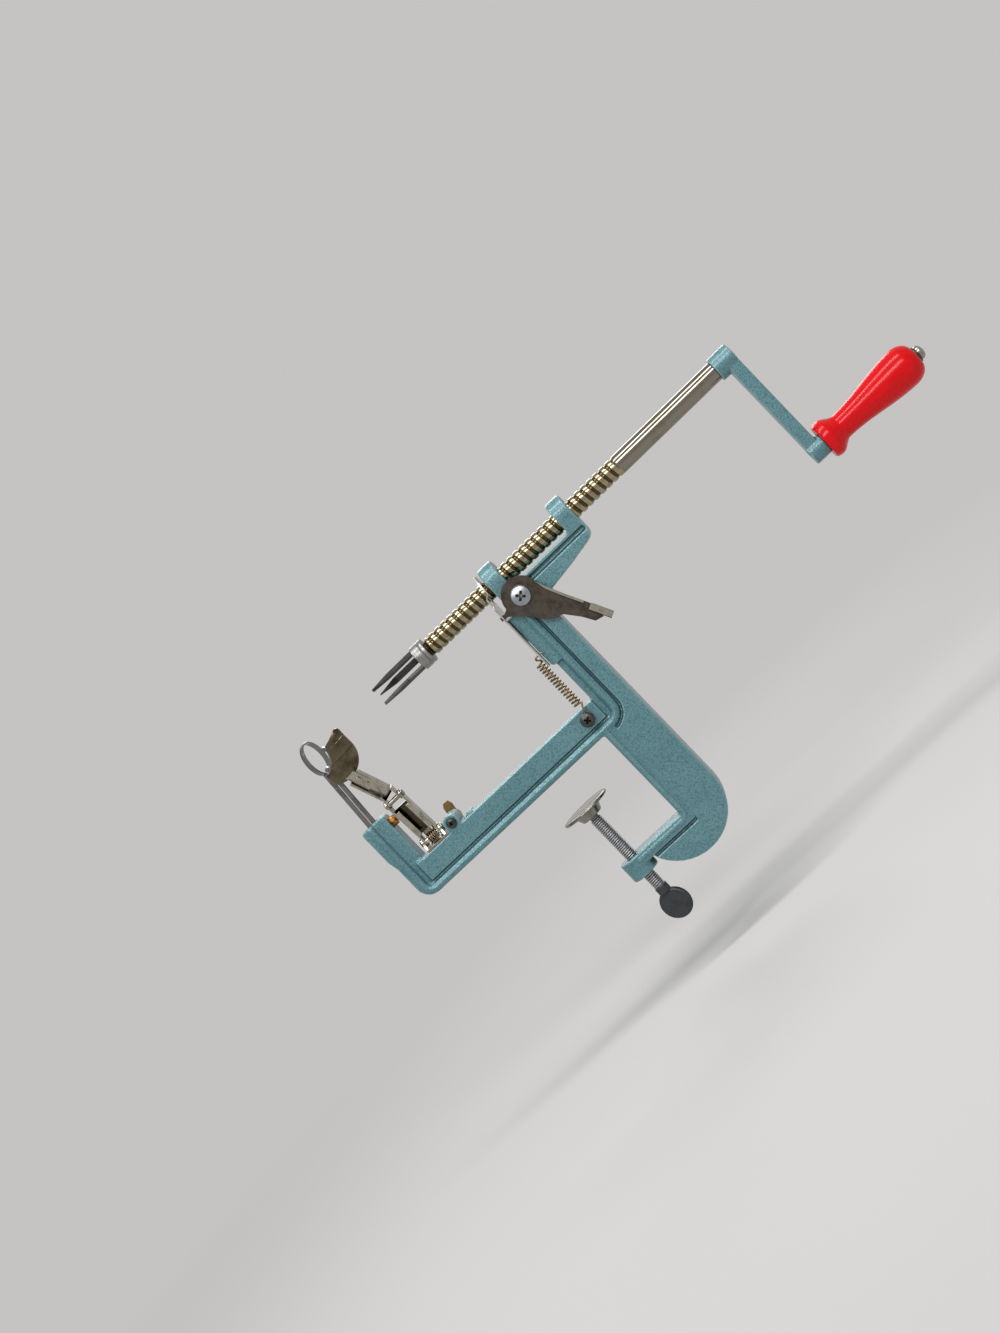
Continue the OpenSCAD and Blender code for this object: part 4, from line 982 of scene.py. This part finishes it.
nut = make_piece("foot_nut", hex_nut((NUT_X, 0, STUD_Z), flat=3.37, thick=3.4, bore=2.05), 25)
seat(nut, brass, "frame", ["slicer_nut"])
stud_rows = np.array([[0.0, 2.0], [0.25, 1.85], [0.5, 1.68], [0.75, 1.85]])
stud_points, stud_quads = helix_thread(
    -96.0, -88.5, 0.8, stud_rows, ends=(1.9, 1.7), steps=20, shift=0.0, axis=0)
shank_rows = [
    [0, -107.3], [1.9, -107.3], [1.9, -95.8], [1.68, -95.6], [1.68, -88.6], [1.2, -88.3], [0, -88.3]]
shank = turned(rounded(shank_rows, 0.2), (0, 0, STUD_Z), ALONG_X, 32)
stud = make_piece("foot_stud", joined((stud_points + [0, 0, STUD_Z], stud_quads), shank))
seat(stud, brass, "frame", ["slicer_stud"])
cast("wing_nut", "wing", 0.3, 6, dull_brass, "frame")

# %% [markdown]
# ## The peeling arm
# A sprung link stands on a bracket, leant to the front, and a second channel on it carries the blade
# head. Their plates, the rivets and the bracket's screws are pressed copies. The two pins are turned,
# with low peened heads. The blade head is dark, but its tongue is as bright as the channel it is on.

# %% Peeling arm
PEEL_X = -79.8
PIN_Z = 27.0
KNUCKLE_Z = 33
LEAN = math.radians(12.0)
TONGUE_TOP = 0.0865
PLATE_ROOM = 0.12
HEAD_TALL = 1.25
CROWN_TALL = 1.2
CROWN_SHARE = 0.8


def on_pin(shell):
    """A shell drawn upright on the hinge pin, leant to the front: turned about X, then raised to the pin."""
    points, quads = shell
    y = points[:, 1] * math.cos(LEAN) - points[:, 2] * math.sin(LEAN)
    z = points[:, 1] * math.sin(LEAN) + points[:, 2] * math.cos(LEAN) + PIN_Z
    return np.column_stack([points[:, 0], y, z]), quads


def peened(half, radius, head):
    """Profile of a pin along X, half to each side of the arm's middle, with a low round head at each end."""
    x0 = PEEL_X - half
    x1 = PEEL_X + half
    crown = head * CROWN_SHARE
    return rounded([
        [0, x0 - HEAD_TALL], [crown, x0 - CROWN_TALL], [head, x0 - PLATE_ROOM],
        [radius, x0 - PLATE_ROOM], [radius, x1 + PLATE_ROOM], [head, x1 + PLATE_ROOM],
        [crown, x1 + CROWN_TALL], [0, x1 + HEAD_TALL]], 0.5)


pressed("peel_bracket", "arm_bracket", 0.28, nickel, "frame")
pin_rows = peened(half=8, radius=2.0, head=2.9)
pin = make_piece("hinge_pin", turned(pin_rows, (0, 0, PIN_Z), ALONG_X, 32))
seat(pin, plate_steel, "frame", ["peel_pin"])
pressed("lower_link", "swing_link", 0.3, link_nickel_deep_shade, "link")
knuckle_rows = peened(half=6.35, radius=1.6, head=2.5)
knuckle = make_piece("knuckle", on_pin(turned(knuckle_rows, (0, 0, KNUCKLE_Z), ALONG_X, 32)))
seat(knuckle, nickel, "link", ["knuckle_pin"])
pressed("upper_arm", "blade_arm", 0.3, nickel, "blade_arm")
guard = pressed("blade_guard", "guard", 0.25, bronzed, "blade_arm")
second_finish(guard, nickel, 2, TONGUE_TOP)
pressed("peeling_blade", "blade", 0.2, blade_steel, "blade_arm")
pressed("arm_rivets", "rivets", 0.3, nickel, "blade_arm")
pressed("bracket_screws", "foot_screws", 0.3, plate_steel, "frame")

# %% [markdown]
# ## The arm's spring
# Four and a half turns round the hinge pin, one leg down on the bracket and one up behind the link. It
# is a round wire on a path, like the release spring.

# %% Arm spring
TWIST_R = 2.8
TWIST_PITCH = 1.5
TWIST_TURNS = 4.5
TWIST_X = PEEL_X - 3.0
TWIST_WIRE = 1.0
LEG_STEPS = 10
LEG_Y = (-6.8, -0.4)
LEG_RISE = (0.35, 0.0)


def twist_path():
    """Path and hint of the torsion spring on the upright pin: a leg, the coil, a leg."""
    a = np.linspace(0, 2 * np.pi * TWIST_TURNS, int(TWIST_TURNS * COIL_STEPS) + 1)
    coil_x = TWIST_X + TWIST_PITCH * a / (2 * np.pi)
    coil = np.column_stack([coil_x, -TWIST_R * np.sin(a), -TWIST_R * np.cos(a)])
    leg_z = np.linspace(*LEG_RISE, LEG_STEPS) - TWIST_R
    low = np.column_stack([np.full(LEG_STEPS, TWIST_X), np.linspace(*LEG_Y, LEG_STEPS), leg_z])
    end_x = TWIST_X + TWIST_PITCH * TWIST_TURNS
    high = curve_through([
        coil[-1], [end_x, 1.0, TWIST_R + 0.5], [end_x, 1.4, TWIST_R + 2], [end_x, 1.4, 12]], 6)
    path = np.vstack([low, coil, high[1:]])
    return path, np.tile(ALONG_X, (len(path), 1))


twist = make_piece("twist_coil", on_pin(wire(*twist_path(), TWIST_WIRE)))
seat(twist, spring_wire, None, ["arm_spring"])

# %% [markdown]
# ## Floor and world
# A plain pale floor lies just under the lowest place that the thumb paddle can reach. Far from the part
# it fades to the tone of the world, so that no horizon cuts the picture. The world shows that tone to
# the camera and in shiny metal, but lights the part more softly, so that colours keep their depth.

# %% Floor and world
PALE = (0.56, 0.55, 0.54)
SOFT_LIGHT = (0.34, 0.345, 0.355)
CLAMP_OPENS = 0.0325
FLOOR_ROOM = 0.0006
FLOOR_Z = cad_box[0][2] - CLAMP_OPENS - FLOOR_ROOM
FLOOR_R = 30
FLOOR_RINGS = 31
FADE = (0.30, 0.95)


def mixed(nodes, links, amount, first, second):
    """Two shaders mixed by an amount."""
    node = nodes.new("ShaderNodeMixShader")
    for socket, value in zip(node.inputs, (amount, first, second)):
        links.new(value, socket)
    return node.outputs[0]


def pale_floor():
    """A disc of floor: rows of falling radius, diffuse near the part and fading to the world's tone."""
    rows = np.column_stack([np.linspace(FLOOR_R, 0, FLOOR_RINGS), np.zeros(FLOOR_RINGS)])
    points, quads = turned(rows, (0, 0, FLOOR_Z), ALONG_Z, 64)
    floor = make_piece("floor", (points / MM, quads), closed=False)
    material, nodes, links, shader, place = finish_base("pale floor")
    fill(shader, {"Base Color": (*PALE, 1), "Roughness": 0.9, "Specular IOR Level": 0.1})
    far = span(nodes, links, vector_math(nodes, links, "LENGTH", place), *FADE, 0.0, 1.0)
    glow = nodes.new("ShaderNodeEmission")
    fill(glow, {"Color": (*PALE, 1)})
    surface = mixed(nodes, links, far, shader.outputs[0], glow.outputs[0])
    links.new(surface, nodes["Material Output"].inputs["Surface"])
    floor.data.materials.append(material)


def larger(nodes, links, first, second):
    """The larger of two values."""
    node = nodes.new("ShaderNodeMath")
    node.operation = "MAXIMUM"
    links.new(first, node.inputs[0])
    links.new(second, node.inputs[1])
    return node.outputs[0]


def studio_world():
    """World: its pale tone to the camera and to shiny metal, and a softer level as light."""
    world = bpy.data.worlds.new("studio")
    bpy.context.scene.world = world
    world.use_nodes = True
    nodes = world.node_tree.nodes
    links = world.node_tree.links
    shown = nodes["Background"]
    fill(shown, {"Color": (*PALE, 1)})
    light = nodes.new("ShaderNodeBackground")
    fill(light, {"Color": (*SOFT_LIGHT, 1)})
    rays = nodes.new("ShaderNodeLightPath").outputs
    seen = larger(nodes, links, rays["Is Camera Ray"], rays["Is Glossy Ray"])
    seen = larger(nodes, links, seen, rays["Is Transmission Ray"])
    surface = mixed(nodes, links, seen, light.outputs[0], shown.outputs[0])
    links.new(surface, nodes["World Output"].inputs["Surface"])


pale_floor()
studio_world()
print("floor at", FLOOR_Z)

# %% [markdown]
# ## Light
# Two long strips of light, one above and one above the front, draw the two bright lines that run along
# every round piece in the photograph. A wider lamp behind keeps the back readable. Area lights are
# used because their own shape is what shines back from polished metal.

# %% Light
CENTRE = (0.05, 0.0, 0.04)


def strip_light(name, place, width, height, power):
    """An area light, width along the shaft and height across it, at a place, facing the part's centre."""
    data = bpy.data.lights.new(name, "AREA")
    data.shape = "RECTANGLE"
    data.size = width
    data.size_y = height
    data.energy = power
    lamp = bpy.data.objects.new(name, data)
    lamp.location = place
    lamp.rotation_euler = (Vector(CENTRE) - Vector(place)).to_track_quat("-Z", "Y").to_euler()
    bpy.context.scene.collection.objects.link(lamp)
    print("lamp", name, power, "W")


strip_light("key", (0.05, -0.35, 1.25), width=1.5, height=0.25, power=10)
strip_light("front", (0.05, -1.15, 0.85), width=1.5, height=0.30, power=12)
strip_light("back", (0.05, 1.1, 0.7), width=0.9, height=0.6, power=6)

# %% [markdown]
# ## The camera
# The photograph looks at the front, a little from the crank's side, and was taken with the peeler lying
# at 44 degrees in the picture. The part has to stay upright in its frame, so the camera is rolled by
# that angle instead. Its lens makes a pixel of the photograph 0.6 mm at the part.

# %% Camera
VIEW_AZIMUTH = math.radians(8.0)
VIEW_HEIGHT = math.radians(1.0)
VIEW_ROLL = math.radians(44.0)
VIEW_FAR = 1.0
VIEW_AT = np.array([0.0235, -0.006, 0.073])
SENSOR = 36
PHOTO_TALL = 1333
PIXEL = 0.0006
PICTURE_TALL = PHOTO_TALL * PIXEL


def photo_camera():
    """Camera at VIEW_FAR from VIEW_AT: right and up turned about the view by the roll."""
    back = np.array([math.sin(VIEW_AZIMUTH) * math.cos(VIEW_HEIGHT),
                     -math.cos(VIEW_AZIMUTH) * math.cos(VIEW_HEIGHT), math.sin(VIEW_HEIGHT)])
    level = np.cross(ALONG_Z, back)
    level /= np.linalg.norm(level)
    upright = np.cross(back, level)
    right = level * math.cos(VIEW_ROLL) - upright * math.sin(VIEW_ROLL)
    up = level * math.sin(VIEW_ROLL) + upright * math.cos(VIEW_ROLL)
    data = bpy.data.cameras.new("photo view")
    data.sensor_width = SENSOR
    data.lens = SENSOR * VIEW_FAR / PICTURE_TALL
    camera = bpy.data.objects.new("photo view", data)
    turn = np.eye(4)
    turn[:3, 0] = right
    turn[:3, 1] = up
    turn[:3, 2] = back
    turn[:3, 3] = VIEW_AT + back * VIEW_FAR
    camera.matrix_world = Matrix(turn.tolist())
    bpy.context.scene.collection.objects.link(camera)
    bpy.context.scene.camera = camera
    return camera


view = photo_camera()
bpy.context.scene.view_settings.view_transform = "Standard"
print("camera lens", view.data.lens, "mm")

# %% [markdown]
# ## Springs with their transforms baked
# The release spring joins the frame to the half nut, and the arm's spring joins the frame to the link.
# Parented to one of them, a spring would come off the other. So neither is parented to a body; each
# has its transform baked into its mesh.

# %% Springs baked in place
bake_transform(release_spring)
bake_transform(twist)
print("blended", release_spring.name, twist.name)
